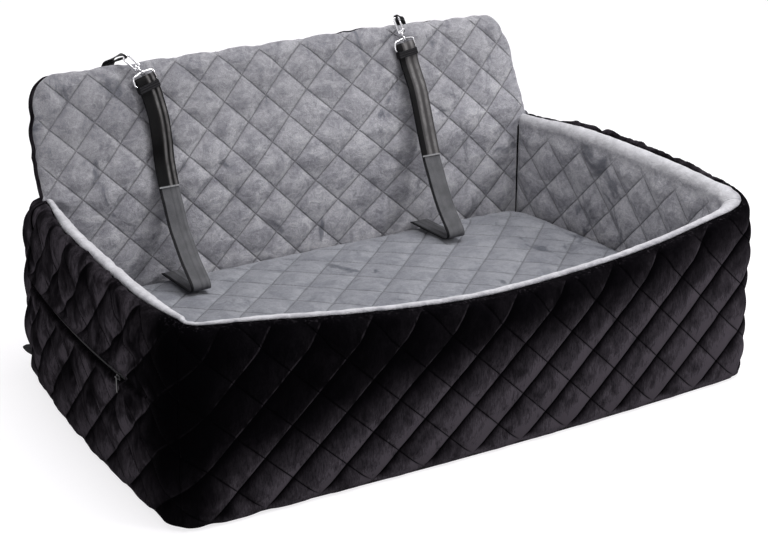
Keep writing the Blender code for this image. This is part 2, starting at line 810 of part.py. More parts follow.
def block(low, high, bevel=0.0):
    bm = bmesh.new()
    bmesh.ops.create_cube(bm, size=1.0)
    size = Vector(high) - Vector(low)
    bmesh.ops.scale(bm, vec=size, verts=bm.verts)
    bmesh.ops.translate(bm, vec=(Vector(low) + Vector(high)) / 2, verts=bm.verts)
    if bevel:
        bmesh.ops.bevel(bm, geom=bm.edges[:], offset=bevel, offset_type="OFFSET", segments=1,
                        profile=0.5, affect="EDGES", material=-1)
    return bm


def cylinder(centre, axis, radius, length, sides=16):
    bm = bmesh.new()
    bmesh.ops.create_cone(bm, cap_ends=True, segments=sides, radius1=radius, radius2=radius, depth=length)
    turn = Vector((0, 0, 1)).rotation_difference(Vector(axis)).to_matrix()
    bmesh.ops.rotate(bm, matrix=turn, verts=bm.verts)
    bmesh.ops.translate(bm, vec=Vector(centre), verts=bm.verts)
    return bm


def to_panel(x, n, t):
    # a point in the panel's frame, n counted forwards from the sewn lines of its front
    return Vector((x, -n, t))


# Snap hook, ring and gate, in the hook's frame: x across, y to the rear, z along the hook from the ring

def ring(side, parent):
    spec = SIDES[side]
    corners = [(0, 0), (-RING_HALF + 0.002, -0.0035), (-RING_HALF, -RING_H), (RING_HALF, -RING_H),
               (RING_HALF - 0.002, -0.0035)]
    outline = fillet([Vector((x, 0, z)) for x, z in corners], 0.0045, 3)
    bm = tube(outline, WIRE_R, 8, closed=True)
    obj = place(side + "_ring", bm, "steel", parent, smooth=60)
    obj.location = to_panel(spec["eye_x"], HOOK_N, spec["eye_t"])
    obj.rotation_euler = (0, -radians(spec["ring_lean"]), 0)


def swivel_eye(side, parent):
    centre = Vector((0, 0, EYE_Z))
    circle = [centre + EYE_R * Vector((0, cos(a), sin(a))) for a in [2 * pi * k / 14 for k in range(14)]]
    eye = place(side + "_swivel_eye", tube(circle, EYE_WIRE, 6, closed=True), "steel", parent, smooth=60)
    pin = place("pin", cylinder((0, 0, 0.0102), (0, 0, 1), 0.0016, 0.0110, 10), "steel", parent)
    head = place("head", cylinder((0, 0, 0.0158), (0, 0, 1), 0.0028, 0.0016, 12), "steel", parent)
    combine(eye, "UNION", pin, head)
    eye.data.shade_smooth()
    eye.data.set_sharp_from_angle(angle=radians(40))


def snap_hook(side, parent):
    barrel_low, barrel_high = 0.0082, 0.0140
    hook = place(side + "_hook", cylinder((0, 0, (barrel_low + barrel_high) / 2), (0, 0, 1), 0.0042,
                                         barrel_high - barrel_low, 16), "steel", parent)
    bridge = place("bridge", block((-RAIL - 0.0016, -0.0016, 0.0112), (RAIL - 0.0010, 0.0016, 0.0140), 0.0005),
                   "steel", parent)
    ears = [place("ear", block((RAIL - 0.0026, y - 0.0007, 0.0112), (RAIL + 0.0022, y + 0.0007, 0.0186), 0.0003),
                  "steel", parent) for y in (-0.0030, 0.0030)]
    tie = place("tie", block((RAIL - 0.0026, -0.0037, 0.0112), (RAIL - 0.0006, 0.0037, 0.0134), 0.0003),
                "steel", parent)
    shank = [Vector((-RAIL, 0, 0.0122)), Vector((-RAIL, 0, 0.0200)), Vector((-RAIL, 0, 0.0300)),
             Vector((-RAIL, 0, NOSE_H))]
    nose = [Vector((-RAIL * cos(a), 0, NOSE_H + RAIL * sin(a))) for a in [pi * k / 8 for k in range(1, 9)]]
    tip = [Vector((RAIL, 0, NOSE_H - 0.0022))]
    rail = place("rail", tube(shank + nose + tip, 0.0019, 8), "steel", parent, smooth=60)
    combine(hook, "UNION", bridge, tie, *ears, rail)
    bore = place("bore", cylinder((0, 0, 0.0110), (0, 0, 1), 0.0019, 0.0120, 12), "steel", parent)
    hinge = place("hinge", cylinder((RAIL, 0, 0.0160), (0, 1, 0), 0.00085, 0.0120, 8), "steel", parent)
    combine(hook, "DIFFERENCE", bore, hinge)
    hook.data.shade_smooth()
    hook.data.set_sharp_from_angle(angle=radians(40))


def gate(side, parent):
    # the sprung gate closes under the hook's tip and opens inwards about its pin
    pivot = Vector((RAIL, 0, 0.0160))
    top = NOSE_H - 0.0022 - 0.0004
    rod = place(side + "_gate", tube([pivot + Vector((0, 0, 0.0010)), Vector((RAIL, 0, 0.0260)),
                                     Vector((RAIL, 0, top - 0.0012)), Vector((RAIL, 0, top))], 0.0016, 8),
                "steel", parent, smooth=60)
    boss = place("boss", cylinder(pivot, (0, 1, 0), 0.0022, 0.0038, 12), "steel", parent)
    combine(rod, "UNION", boss)
    bore = place("bore", cylinder(pivot, (0, 1, 0), 0.0011, 0.0100, 8), "steel", parent)
    combine(rod, "DIFFERENCE", bore)
    rod.data.transform(Matrix.Translation(-pivot))
    rod.location = pivot
    rod.data.shade_smooth()
    rod.data.set_sharp_from_angle(angle=radians(40))
    pin = place(side + "_gate_pin", cylinder((0, 0, 0), (0, 1, 0), 0.00065, 0.0078, 8), "steel", parent)
    pin.location = pivot


# Webbing loop over the panel's top, round the hook's nose

def headrest_loop(side, parent):
    spec = SIDES[side]
    turn = radians(spec["hook_lean"])
    crown_x = spec["eye_x"] - sin(turn) * HOOK_L
    crown_t = spec["eye_t"] + cos(turn) * HOOK_L
    across = Vector((cos(turn), 0, sin(turn)))
    up = Vector((-sin(turn), 0, cos(turn)))
    crown = to_panel(crown_x, HOOK_N, crown_t)
    bend = 0.0037
    wide = Vector((1, 0, 0))
    rear_x = crown_x + spec["sign"] * 0.012
    out = STRAP_Y - 0.0006

    def blended(f):
        return (across * (1 - f) + wide * f).normalized()

    def spot(f, y, t):
        return Vector((crown_x * (1 - f) + rear_x * f, y, t))

    upper = [(spot(1.0, out + 0.0022, 0.176), 1.0), (spot(1.0, out + 0.0022, 0.205), 1.0),
             (spot(0.8, 0.0330, 0.2265), 0.8), (spot(0.5, 0.0180, crown_t + 0.0045), 0.5),
             (spot(0.2, 0.0000, crown_t + bend + 0.0010), 0.2)]
    lower = [(spot(0.2, -0.0020, crown_t - bend - 0.0002), 0.2), (spot(0.5, 0.0160, crown_t - 0.0040), 0.5),
             (spot(0.8, 0.0310, 0.2195), 0.8), (spot(1.0, out, 0.203), 1.0), (spot(1.0, out, 0.176), 1.0)]
    centres, widths = [], []

    def add(point, f):
        centres.append(point)
        widths.append(blended(f) * (LOOP_THROAT + (LOOP_HALF - LOOP_THROAT) * min(1.0, f * 1.15)))

    for point, f in upper:
        add(point, f)
    for k in range(7):
        a = pi / 2 - pi * k / 6
        add(crown + up * bend * sin(a) + Vector((0, -1, 0)) * bend * cos(a), 0.0)
    for point, f in lower:
        add(point, f)
    fine = smooth_path(centres, 0.008)
    spans = [0.0]
    for p, q in zip(centres, centres[1:]):
        spans.append(spans[-1] + (q - p).length)
    run = [0.0]
    for p, q in zip(fine, fine[1:]):
        run.append(run[-1] + (q - p).length)
    scale = spans[-1] / run[-1]
    wides = []
    for r in run:
        d = min(r * scale, spans[-1] - 1e-9)
        i = max(k for k in range(len(spans) - 1) if spans[k] <= d)
        f = (d - spans[i]) / (spans[i + 1] - spans[i])
        wides.append(widths[i] * (1 - f) + widths[i + 1] * f)
    place(side + "_headrest_loop", strip(fine, wides, STRAP_T), "webbing", parent, smooth=50)


# Tethers: folded round the ring's lower bar, then down over the panel to the seat's rear seam

TETHER_ROUTE = {
    "left": [(0.3010, 0.4700), (0.2900, 0.4300), (0.2830, 0.3870), (0.2590, 0.3250), (0.2370, 0.2800),
             (0.2130, 0.2510), (0.1900, 0.2260), (0.1640, 0.2050), (0.1500, 0.1930), (0.1480, 0.1830),
             (0.1590, 0.1775), (0.1850, 0.1765), (0.2300, 0.1750), (0.2770, 0.1740)],
    "right": [(0.3000, 0.4750), (0.2820, 0.4480), (0.2630, 0.4020), (0.2480, 0.3640), (0.2280, 0.3180),
              (0.2040, 0.2720), (0.1780, 0.2340), (0.1540, 0.2080), (0.1410, 0.1940), (0.1400, 0.1840),
              (0.1510, 0.1780), (0.1780, 0.1768), (0.2280, 0.1750), (0.2770, 0.1740)],
}


def fold_matrix():
    return Matrix.Translation((0, FOLD_Y, FOLD_Z)) @ Matrix.Rotation(-radians(RECLINE), 4, "X")


def bar_centre(side):
    spec = SIDES[side]
    turn = radians(spec["ring_lean"])
    down = Vector((sin(turn), 0, -cos(turn)))
    local = to_panel(spec["eye_x"], HOOK_N, spec["eye_t"]) + down * RING_H
    across = Vector((cos(turn), 0, sin(turn)))
    to_world = fold_matrix()
    spin = to_world.to_3x3()
    return to_world @ local, spin @ down, spin @ across, spin @ Vector((0, -1, 0))


def tether(side):
    bar, down, across, outward = bar_centre(side)
    bend = WIRE_R + 0.0004 + TETHER_T / 2
    hang_x = bar.x + down.x * 0.045
    route = [bar + outward * bend, bar + outward * bend * 0.85 + down * 0.014]
    route += [bar + outward * 0.0012 + down * 0.028]
    route += [Vector((hang_x, y, z)) for y, z in TETHER_ROUTE[side]]
    front = smooth_path(route, 0.016)
    widths, normals = [], []
    for i, p in enumerate(front):
        tangent = (front[min(i + 1, len(front) - 1)] - front[max(i - 1, 0)]).normalized()
        w = Vector((1, 0, 0)) - tangent * tangent.x
        w.normalize()
        widths.append(w)
        normals.append(w.cross(tangent).normalized())
    if normals[3].dot(outward) < 0:
        normals = [-n for n in normals]
    tail, tail_w, length = [], [], 0.0
    for i, p in enumerate(front):
        if i > 0:
            length += (p - front[i - 1]).length
        if length > TAIL_L[side]:
            break
        start_gap = 2 * bend
        rest_gap = TETHER_T + TETHER_PLY_GAP
        spread = rest_gap + (start_gap - rest_gap) * (1 - smooth_step(length, 0.0, 0.026))
        tail.append(p - normals[i] * spread)
        tail_w.append(widths[i])
    turn_points = [bar + outward * bend * cos(a) - down * bend * sin(a) for a in [pi * k / 6 for k in range(1, 6)]]
    centres = tail[::-1] + turn_points[::-1] + front
    wides = tail_w[::-1] + [across] * len(turn_points) + widths
    half = TETHER_W / 2
    bm = strip(centres, [w * half for w in wides], TETHER_T)
    place(side + "_tether", bm, "webbing", smooth=50)
    print(side, "tether front ply", round(sum((a - b).length for a, b in zip(front, front[1:])), 3), "m")


def tether_keeper(side):
    # a sewn wrap that closes the fold under the ring
    bar, down, across, outward = bar_centre(side)
    centre = bar + down * 0.0125
    frame = Matrix((across, outward, -down)).transposed().to_4x4()
    frame.translation = centre
    outer = block((-0.0222, -0.0066, -0.0065), (0.0222, 0.0066, 0.0065), 0.0012)
    bmesh.ops.transform(outer, matrix=frame, verts=outer.verts)
    inner = block((-0.0210, -0.0054, -0.0200), (0.0210, 0.0054, 0.0200))
    bmesh.ops.transform(inner, matrix=frame, verts=inner.verts)
    obj = place(side + "_tether_keeper", outer, "webbing", smooth=40)
    combine(obj, "DIFFERENCE", place("slot", inner, "webbing"))


# Headrest strap behind the panel: sewn top and bottom, with a side-release buckle and a slide adjuster

def headrest_strap(side, parent):
    spec = SIDES[side]
    x = spec["eye_x"] + spec["sign"] * STRAP_OUT
    y = STRAP_Y
    half = STRAP_W / 2

    def band(name, points):
        centres = smooth_path([Vector((x, py, pz)) for py, pz in points], 0.02)
        place(side + name, strip(centres, [Vector((half, 0, 0))] * len(centres), STRAP_T), "webbing", parent)

    def piece(name, low, high, bevel=0.0):
        offset = Vector((x, y, 0))
        return place(name, block(Vector(low) + offset, Vector(high) + offset, bevel), "plastic", parent)

    sewn = y - 0.0025
    band("_headrest_strap", [(sewn, 0.2000), (sewn, 0.1880), (y, 0.1760), (y, 0.1560), (y, 0.1365)])
    band("_buckle_tail", [(y, 0.0890), (y, 0.0600), (y, 0.0340), (sewn, 0.0220), (sewn, 0.0120)])

    low, high = 0.1480, 0.1660
    adjuster = piece(side + "_slide_adjuster", (-0.0165, -0.0038, low), (0.0165, 0.0038, high), 0.0012)
    wide = half + 0.0004
    cuts = [piece("slot", (-wide, -0.0011, low - 0.002), (wide, 0.0011, high + 0.002))]
    cuts += [piece("slot", (-wide, -0.0100, z), (wide, 0.0100, z + 0.0038)) for z in (low + 0.003, high - 0.0068)]
    combine(adjuster, "DIFFERENCE", *cuts)

    socket = piece(side + "_buckle_socket", (-0.0170, -0.0038, 0.0930), (0.0170, 0.0072, 0.1360), 0.0015)
    mouth = piece("mouth", (-0.0138, 0.0010, 0.0870), (0.0138, 0.0054, 0.1220))
    windows = [piece("window", (a * 0.0140 - 0.0050, 0.0010, 0.1060), (a * 0.0140 + 0.0050, 0.0054, 0.1190))
               for a in (-1, 1)]
    combine(socket, "DIFFERENCE", mouth, *windows)

    plug = piece(side + "_buckle_plug", (-0.0165, -0.0034, 0.0700), (0.0165, 0.0066, 0.0925), 0.0015)
    prongs = [piece("prong", (a - b, 0.0016, 0.0880), (a + b, 0.0048, c), 0.0005)
              for a, b, c in ((-0.0105, 0.0022, 0.1175), (0.0105, 0.0022, 0.1175), (0.0, 0.0018, 0.1110))]
    combine(plug, "UNION", *prongs)
    combine(plug, "DIFFERENCE", piece("slot", (-wide, -0.0012, 0.0680), (wide, 0.0012, 0.0950)))


# Side zips

def zips():
    for side, sign in (("left", -1), ("right", 1)):
        cx = sign * SIDE_CX
        outer = SIDE_R + CORNER_R
        proud = puff(middle(LEFT), ZIP_Z) + 0.0005

        def spot(y, out, z):
            angle = asin((y - SIDE_CY) / outer)
            return Vector((cx + sign * (outer + out) * cos(angle), SIDE_CY + (outer + out) * sin(angle), z))

        bm = bmesh.new()
        ys = spaced(ZIP_FRONT - 0.012, ZIP_REAR, 0.024)
        section = ((proud, -1), (proud + 0.0012, -1), (proud + 0.0012, -0.3), (proud + 0.0020, -0.22),
                   (proud + 0.0020, 0.22), (proud + 0.0012, 0.3), (proud + 0.0012, 1), (proud, 1))
        rings = [[bm.verts.new(spot(y, out, ZIP_Z + w * ZIP_HALF)) for out, w in section] for y in ys]
        for a, b in zip(rings, rings[1:]):
            for j in range(len(section)):
                k = (j + 1) % len(section)
                bm.faces.new((a[j], b[j], b[k], a[k]))
        bm.faces.new(rings[0][::-1])
        bm.faces.new(rings[-1])
        place(side + "_zip_tape", bm, "webbing", smooth=30)
        slider_y = ZIP_FRONT
        centre = spot(slider_y, proud + 0.0044, ZIP_Z)
        slider = block((-0.0019, -0.0060, -0.0045), (0.0019, 0.0060, 0.0045), 0.0010)
        turn = Matrix.Rotation(asin((slider_y - SIDE_CY) / outer) * sign, 4, "Z")
        bmesh.ops.transform(slider, matrix=Matrix.Translation(centre) @ turn, verts=slider.verts)
        body = place(side + "_zip_slider", slider, "zip_metal", smooth=40)
        peg_centre = centre + Vector((sign * 0.0041, 0, 0.0005))
        posts = [place("post", block(peg_centre + Vector((-0.0013 - 0.0014 * (sign > 0), d - 0.0006, -0.0012)),
                                     peg_centre + Vector((0.0013 + 0.0014 * (sign < 0), d + 0.0006, 0.0012))),
                       "zip_metal")
                 for d in (-0.0032, 0.0032)]
        peg = place("peg", cylinder(peg_centre, (0, 1, 0), 0.0008, 0.0070, 8), "zip_metal")
        combine(body, "UNION", *posts, peg)
        pull = place(side + "_zip_pull", block((-0.0007, -0.0022, -0.0270), (0.0007, 0.0022, 0.0020), 0.0004),
                     "zip_metal", smooth=40)
        hole = place("hole", cylinder((0, 0, 0), (0, 1, 0), 0.0011, 0.0100, 8), "zip_metal")
        collar = place("collar", cylinder((0, 0, 0), (0, 1, 0), 0.0017, 0.0044, 10), "zip_metal")
        combine(pull, "UNION", collar)
        combine(pull, "DIFFERENCE", hole)
        pull.location = peg_centre
        print(side, "zip: arc centre", round(cx, 4), round(SIDE_CY, 4), "slider", [round(v, 4) for v in centre],
              "peg", [round(v, 4) for v in peg_centre])


# Webbing tabs sewn in at the foot of the rear corners

def rear_tabs():
    for side, arc_index, turn in (("left", REAR_LEFT, -0.30), ("right", REAR_RIGHT, 0.30)):
        s = middle(arc_index)
        cx, cy, r, angle = station(s)
        angle += turn
        out = Vector((cos(angle), sin(angle), 0))
        base_point = Vector((cx, cy, 0.026)) + out * (r + PUFF + 0.0012)
        half = [0.0110, 0.0110, 0.0100, 0.0070, 0.0020]
        centres = [base_point + out * d for d in (0.0, 0.014, 0.028, 0.040, 0.048)]
        bm = strip(centres, [Vector((0, 0, h)) for h in half], 0.0036)
        place(side + "_rear_tab", bm, "webbing", smooth=40)


def build():
    base()
    foam_cores()
    outer_covers()
    linings()
    rear_lining()
    seat_cushion()
    fold = bpy.data.objects.new("fold_axis", None)
    bpy.context.collection.objects.link(fold)
    fold.location = (0, FOLD_Y, FOLD_Z)
    fold.rotation_euler = (-radians(RECLINE), 0, 0)
    bpy.context.view_layer.update()
    backrest(fold)
    for side, spec in SIDES.items():
        grip = bpy.data.objects.new(side + "_hook_axis", None)
        bpy.context.collection.objects.link(grip)
        grip.parent = fold
        grip.location = to_panel(spec["eye_x"], HOOK_N, spec["eye_t"])
        grip.rotation_euler = (0, -radians(spec["hook_lean"]), 0)
        bpy.context.view_layer.update()
        ring(side, fold)
        swivel_eye(side, grip)
        snap_hook(side, grip)
        gate(side, grip)
        headrest_loop(side, fold)
        headrest_strap(side, fold)
        tether(side)
        tether_keeper(side)
    zips()
    rear_tabs()


build()
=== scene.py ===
# Quilted car carrier with a folding backrest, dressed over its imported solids.
# Metres, +Z up, +Y to the rear. The outline and the quilting repeat the solids' own numbers.

import bpy
import bmesh
from math import asin, atan, atan2, cos, exp, pi, radians, sin, sqrt
from mathutils import Matrix, Vector, noise


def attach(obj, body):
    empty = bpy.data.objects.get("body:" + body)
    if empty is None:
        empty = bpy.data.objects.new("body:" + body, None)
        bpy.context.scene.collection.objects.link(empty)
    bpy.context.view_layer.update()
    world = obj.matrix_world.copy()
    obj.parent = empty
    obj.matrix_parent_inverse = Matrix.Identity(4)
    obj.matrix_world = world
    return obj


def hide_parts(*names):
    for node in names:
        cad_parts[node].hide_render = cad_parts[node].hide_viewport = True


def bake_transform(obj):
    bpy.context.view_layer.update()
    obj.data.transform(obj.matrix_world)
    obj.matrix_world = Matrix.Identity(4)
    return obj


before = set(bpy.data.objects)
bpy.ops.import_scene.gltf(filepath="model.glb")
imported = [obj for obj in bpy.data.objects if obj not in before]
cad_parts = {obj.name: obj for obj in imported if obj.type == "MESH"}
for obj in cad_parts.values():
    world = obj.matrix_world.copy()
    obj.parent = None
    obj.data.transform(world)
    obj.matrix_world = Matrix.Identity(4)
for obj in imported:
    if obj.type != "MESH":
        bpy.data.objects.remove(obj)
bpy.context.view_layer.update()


# Camera, lights and floor

stageSettings = {
    "cameraPlace": (-1.7063, -2.8353, 1.4927),
    "cameraTurn": (68.67, 0.0, -31.18),  # degrees
    "lens": 90.33,
    "backdrop": (0.985, 0.975, 0.99),
    "ambient": 0.38,
    "ambientTint": (1.0, 0.995, 1.0),
    "floorSize": 24.0,
    "floorShadow": (0.34 * 0.98, 0.34 * 0.97, 0.34),  # share of the floor's look that takes shadows
    "floorGlow": 0.76,
    "floorBounce": (0.80, 0.80, 0.80),  # what the lighting rays meet instead
    "lamps": [
        # name, place, aimed at, size, power
        ("topBox", (0.4, -0.5, 3.0), (0.0, 0.1, 0.2), 2.2, 92.0),
        ("rightKey", (3.2, -1.2, 2.2), (0.0, 0.0, 0.25), 1.2, 26.0),
        ("frontKey", (1.9, -2.9, 1.9), (-0.1, 0.1, 0.25), 0.45, 42.0),
        ("leftFill", (-3.4, -1.4, 1.2), (0.0, 0.0, 0.2), 2.0, 22.0),
        ("backStrip", (-0.6, 3.2, 2.6), (0.0, 0.2, 0.4), 1.8, 30.0),
    ],
    "flags": [
        # dark cards that only gloss sees: centre, half size
        ((-1.0, -1.6, 1.30), 0.60),
        ((1.6, -1.2, 0.9), 0.70),
        ((-0.3, 0.3, 2.3), 0.60),
        ((-2.2, 0.2, 1.0), 0.60),
    ],
    "flagAim": (0.0, 0.2, 0.5),
    "felt": (0.004, 0.004, 0.004),
}


def mixByRay(tree, forLight, forEye):
    # one shader for lighting rays and another for what the eye, gloss and glass see
    path = tree.nodes.new("ShaderNodeLightPath")
    first = tree.nodes.new("ShaderNodeMath")
    second = tree.nodes.new("ShaderNodeMath")
    for node in (first, second):
        node.operation = "MAXIMUM"
    mix = tree.nodes.new("ShaderNodeMixShader")
    for source, socket in (
        (path.outputs["Is Camera Ray"], first.inputs[0]),
        (path.outputs["Is Glossy Ray"], first.inputs[1]),
        (first.outputs[0], second.inputs[0]),
        (path.outputs["Is Transmission Ray"], second.inputs[1]),
        (second.outputs[0], mix.inputs["Fac"]),
        (forLight, mix.inputs[1]),
        (forEye, mix.inputs[2]),
    ):
        tree.links.new(source, socket)
    return mix.outputs[0]


def plainShader(tree, kind, colour, strength=None):
    node = tree.nodes.new(kind)
    node.inputs["Color"].default_value = (*colour, 1.0)
    if strength is not None:
        node.inputs["Strength"].default_value = strength
    return node.outputs[0]


def flatSheet(name, half, place, material):
    bm = bmesh.new()
    bmesh.ops.create_grid(bm, x_segments=1, y_segments=1, size=half)
    bmesh.ops.transform(bm, matrix=place, verts=bm.verts)
    mesh = bpy.data.meshes.new(name)
    bm.to_mesh(mesh)
    bm.free()
    mesh.materials.append(material)
    sheet = bpy.data.objects.new(name, mesh)
    bpy.context.scene.collection.objects.link(sheet)
    return sheet


def makeCamera(chosen):
    scene = bpy.context.scene
    scene.view_settings.view_transform = "Standard"
    lensData = bpy.data.cameras.new("camera")
    lensData.lens = chosen["lens"]
    lensData.sensor_width = 36.0
    lensData.clip_end = 60.0
    eye = bpy.data.objects.new("camera", lensData)
    eye.location = chosen["cameraPlace"]
    eye.rotation_euler = [radians(a) for a in chosen["cameraTurn"]]
    scene.collection.objects.link(eye)
    scene.camera = eye


def makeLights(chosen):
    scene = bpy.context.scene
    for name, place, aim, size, power in chosen["lamps"]:
        lampData = bpy.data.lights.new(name, "AREA")
        lampData.shape = "DISK"
        lampData.size = size
        lampData.energy = power
        lamp = bpy.data.objects.new(name, lampData)
        lamp.location = place
        lamp.rotation_euler = (Vector(aim) - Vector(place)).to_track_quat("-Z", "Y").to_euler()
        scene.collection.objects.link(lamp)
    world = bpy.data.worlds.new("studio")
    world.use_nodes = True
    scene.world = world
    tree = world.node_tree
    tree.nodes.remove(tree.nodes["Background"])
    soft = plainShader(tree, "ShaderNodeBackground", chosen["ambientTint"], chosen["ambient"])
    plain = plainShader(tree, "ShaderNodeBackground", chosen["backdrop"], 1.0)
    tree.links.new(mixByRay(tree, soft, plain), tree.nodes["World Output"].inputs["Surface"])


def makeFloor(chosen):
    paint = bpy.data.materials.new("floorPaint")
    paint.use_nodes = True
    tree = paint.node_tree
    tree.nodes.remove(tree.nodes["Principled BSDF"])
    bounce = plainShader(tree, "ShaderNodeBsdfDiffuse", chosen["floorBounce"])
    both = tree.nodes.new("ShaderNodeAddShader")
    seen = plainShader(tree, "ShaderNodeBsdfDiffuse", chosen["floorShadow"])
    glow = plainShader(tree, "ShaderNodeEmission", chosen["backdrop"], chosen["floorGlow"])
    tree.links.new(seen, both.inputs[0])
    tree.links.new(glow, both.inputs[1])
    out = mixByRay(tree, bounce, both.outputs[0])
    tree.links.new(out, tree.nodes["Material Output"].inputs["Surface"])
    flatSheet("floor", chosen["floorSize"] / 2, Matrix(), paint)


def makeFlags(chosen):
    felt = bpy.data.materials.new("flagFelt")
    felt.use_nodes = True
    felt.node_tree.nodes["Principled BSDF"].inputs["Base Color"].default_value = (*chosen["felt"], 1.0)
    for place, half in chosen["flags"]:
        turn = (Vector(chosen["flagAim"]) - Vector(place)).to_track_quat("Z", "Y").to_matrix().to_4x4()
        flag = flatSheet("flag", half, Matrix.Translation(place) @ turn, felt)
        flag.visible_camera = flag.visible_diffuse = flag.visible_shadow = flag.visible_transmission = False


for makePart in (makeCamera, makeLights, makeFloor, makeFlags):
    makePart(stageSettings)
print("stage, camera and lamps made")


# Materials

class Field:
    # a number that varies over a piece: a shader socket, with a Math node for every plus, minus and times
    def __init__(self, socket):
        self.socket = socket
        self.tree = socket.id_data

    def __add__(self, other):
        return mathNode("ADD", self, other)

    def __sub__(self, other):
        return mathNode("SUBTRACT", self, other)

    def __rsub__(self, other):
        return mathNode("SUBTRACT", other, self)

    def __mul__(self, other):
        return mathNode("MULTIPLY", self, other)


def wire(source, socket):
    # join a field or a colour socket to an input, or set the input to a plain value
    if isinstance(source, Field):
        source = source.socket
    if isinstance(source, (int, float)):
        socket.default_value = source
    elif isinstance(source, tuple):
        socket.default_value = (*source, 1.0)
    else:
        socket.id_data.links.new(source, socket)


def mathNode(operation, a, b=None, clamp=False):
    tree = a.tree if isinstance(a, Field) else b.tree
    node = tree.nodes.new("ShaderNodeMath")
    node.operation = operation
    node.use_clamp = clamp
    wire(a, node.inputs[0])
    if b is not None:
        wire(b, node.inputs[1])
    return Field(node.outputs[0])


def highest(a, b):
    return mathNode("MAXIMUM", a, b)


def nearWhole(value):
    # distance to the nearest whole number
    return mathNode("PINGPONG", value, 0.5)


def ramp(value, low, high, start=0.0, stop=1.0):
    # start below low, stop above high and a smooth step between them
    node = value.tree.nodes.new("ShaderNodeMapRange")
    node.interpolation_type = "SMOOTHSTEP"
    wire(value, node.inputs["Value"])
    for name, limit in (("From Min", low), ("From Max", high), ("To Min", start), ("To Max", stop)):
        node.inputs[name].default_value = limit
    return Field(node.outputs["Result"])


def scaled(coords, stretch):
    # the same place read on a stretched scale
    mapping = coords.id_data.nodes.new("ShaderNodeMapping")
    mapping.inputs["Scale"].default_value = stretch
    wire(coords, mapping.inputs["Vector"])
    return mapping.outputs[0]


def grain(coords, scale, detail=4.0, rough=0.55, warp=0.0, stretch=None):
    # a noise pattern, its scale in waves a metre
    node = coords.id_data.nodes.new("ShaderNodeTexNoise")
    for name, value in (("Scale", scale), ("Detail", detail), ("Roughness", rough), ("Distortion", warp)):
        node.inputs[name].default_value = value
    wire(scaled(coords, stretch) if stretch else coords, node.inputs["Vector"])
    return Field(node.outputs["Fac"])


def mixColour(factor, a, b):
    node = factor.tree.nodes.new("ShaderNodeMix")
    node.data_type = "RGBA"
    values = {"Factor": factor, "A": a, "B": b}
    for socket in node.inputs:
        if socket.enabled:
            wire(values[socket.name], socket)
    return [s for s in node.outputs if s.enabled][0]


def shaded(share, colour):
    return tuple(share * c for c in colour)


def axes(vector):
    split = vector.id_data.nodes.new("ShaderNodeSeparateXYZ")
    wire(vector, split.inputs[0])
    return [Field(out) for out in split.outputs]


def mapAxes(tree, name):
    # the two numbers of a UV map
    uvs = tree.nodes.new("ShaderNodeUVMap")
    uvs.uv_map = name
    return axes(uvs.outputs[0])[:2]


def attribute(tree, name):
    node = tree.nodes.new("ShaderNodeAttribute")
    node.attribute_name = name
    return Field(node.outputs["Fac"])


def startMaterial(name, roughness, metallic=0.0, specular=0.5, sheen=None):
    # returns the material, its Principled BSDF and the Object coordinates
    made = bpy.data.materials.new(name)
    made.use_nodes = True
    tree = made.node_tree
    shader = tree.nodes["Principled BSDF"]
    shader.inputs["Roughness"].default_value = roughness
    shader.inputs["Metallic"].default_value = metallic
    shader.inputs["Specular IOR Level"].default_value = specular
    if sheen:
        weight, sheenRoughness, tint = sheen
        shader.inputs["Sheen Weight"].default_value = weight
        shader.inputs["Sheen Roughness"].default_value = sheenRoughness
        shader.inputs["Sheen Tint"].default_value = (*tint, 1.0)
    return made, shader, tree.nodes.new("ShaderNodeTexCoord").outputs["Object"]


def dress(shader, colour, height, strength, distance, roughness=None):
    # colour, and a relief with its strength and its height in metres
    wire(colour, shader.inputs["Base Color"])
    if roughness:
        wire(roughness, shader.inputs["Roughness"])
    node = height.tree.nodes.new("ShaderNodeBump")
    node.inputs["Strength"].default_value = strength
    node.inputs["Distance"].default_value = distance
    wire(height, node.inputs["Height"])
    wire(node.outputs["Normal"], shader.inputs["Normal"])


def sewnLines(tree):
    # from the cells map: crease of the sewn lines, for relief and painted shade, their thread, the flank
    # between two, how much applies
    u, v = mapAxes(tree, "cells")
    a, b = u + v, u - v
    nearA, nearB = nearWhole(a), nearWhole(b)
    near = mathNode("MINIMUM", nearA, nearB)
    factor = attribute(tree, "sewn")
    creaseAndShade = ramp(near, 0.0, 0.050, 0.42, 0.0) + ramp(near, 0.005, 0.017, 0.58, 0.0)
    flank = mathNode("FRACT", b)  # from 0 just past a rising line to 1 just before the next one
    stitches = [mathNode("GREATER_THAN", nearWhole(line * 17.0), 0.10) for line in (b, a)]
    threads = [ramp(near, 0.003, 0.008, 1.0, 0.0) * dash for near, dash in zip((nearA, nearB), stitches)]
    return creaseAndShade * factor, highest(*threads) * factor, flank, factor


def paintedPillowShade(flank, factor, low, high):
    # painted light and shade over each pillow: it pales towards the pillow's far side and darkens just past a
    # rising sewn line
    slope = ramp(flank, 0.0, 0.30, 0.0, 0.30) + ramp(flank, 0.30, 0.97, 0.0, 0.70)
    return (slope * (high - low) + low - 1.0) * factor + 1.0


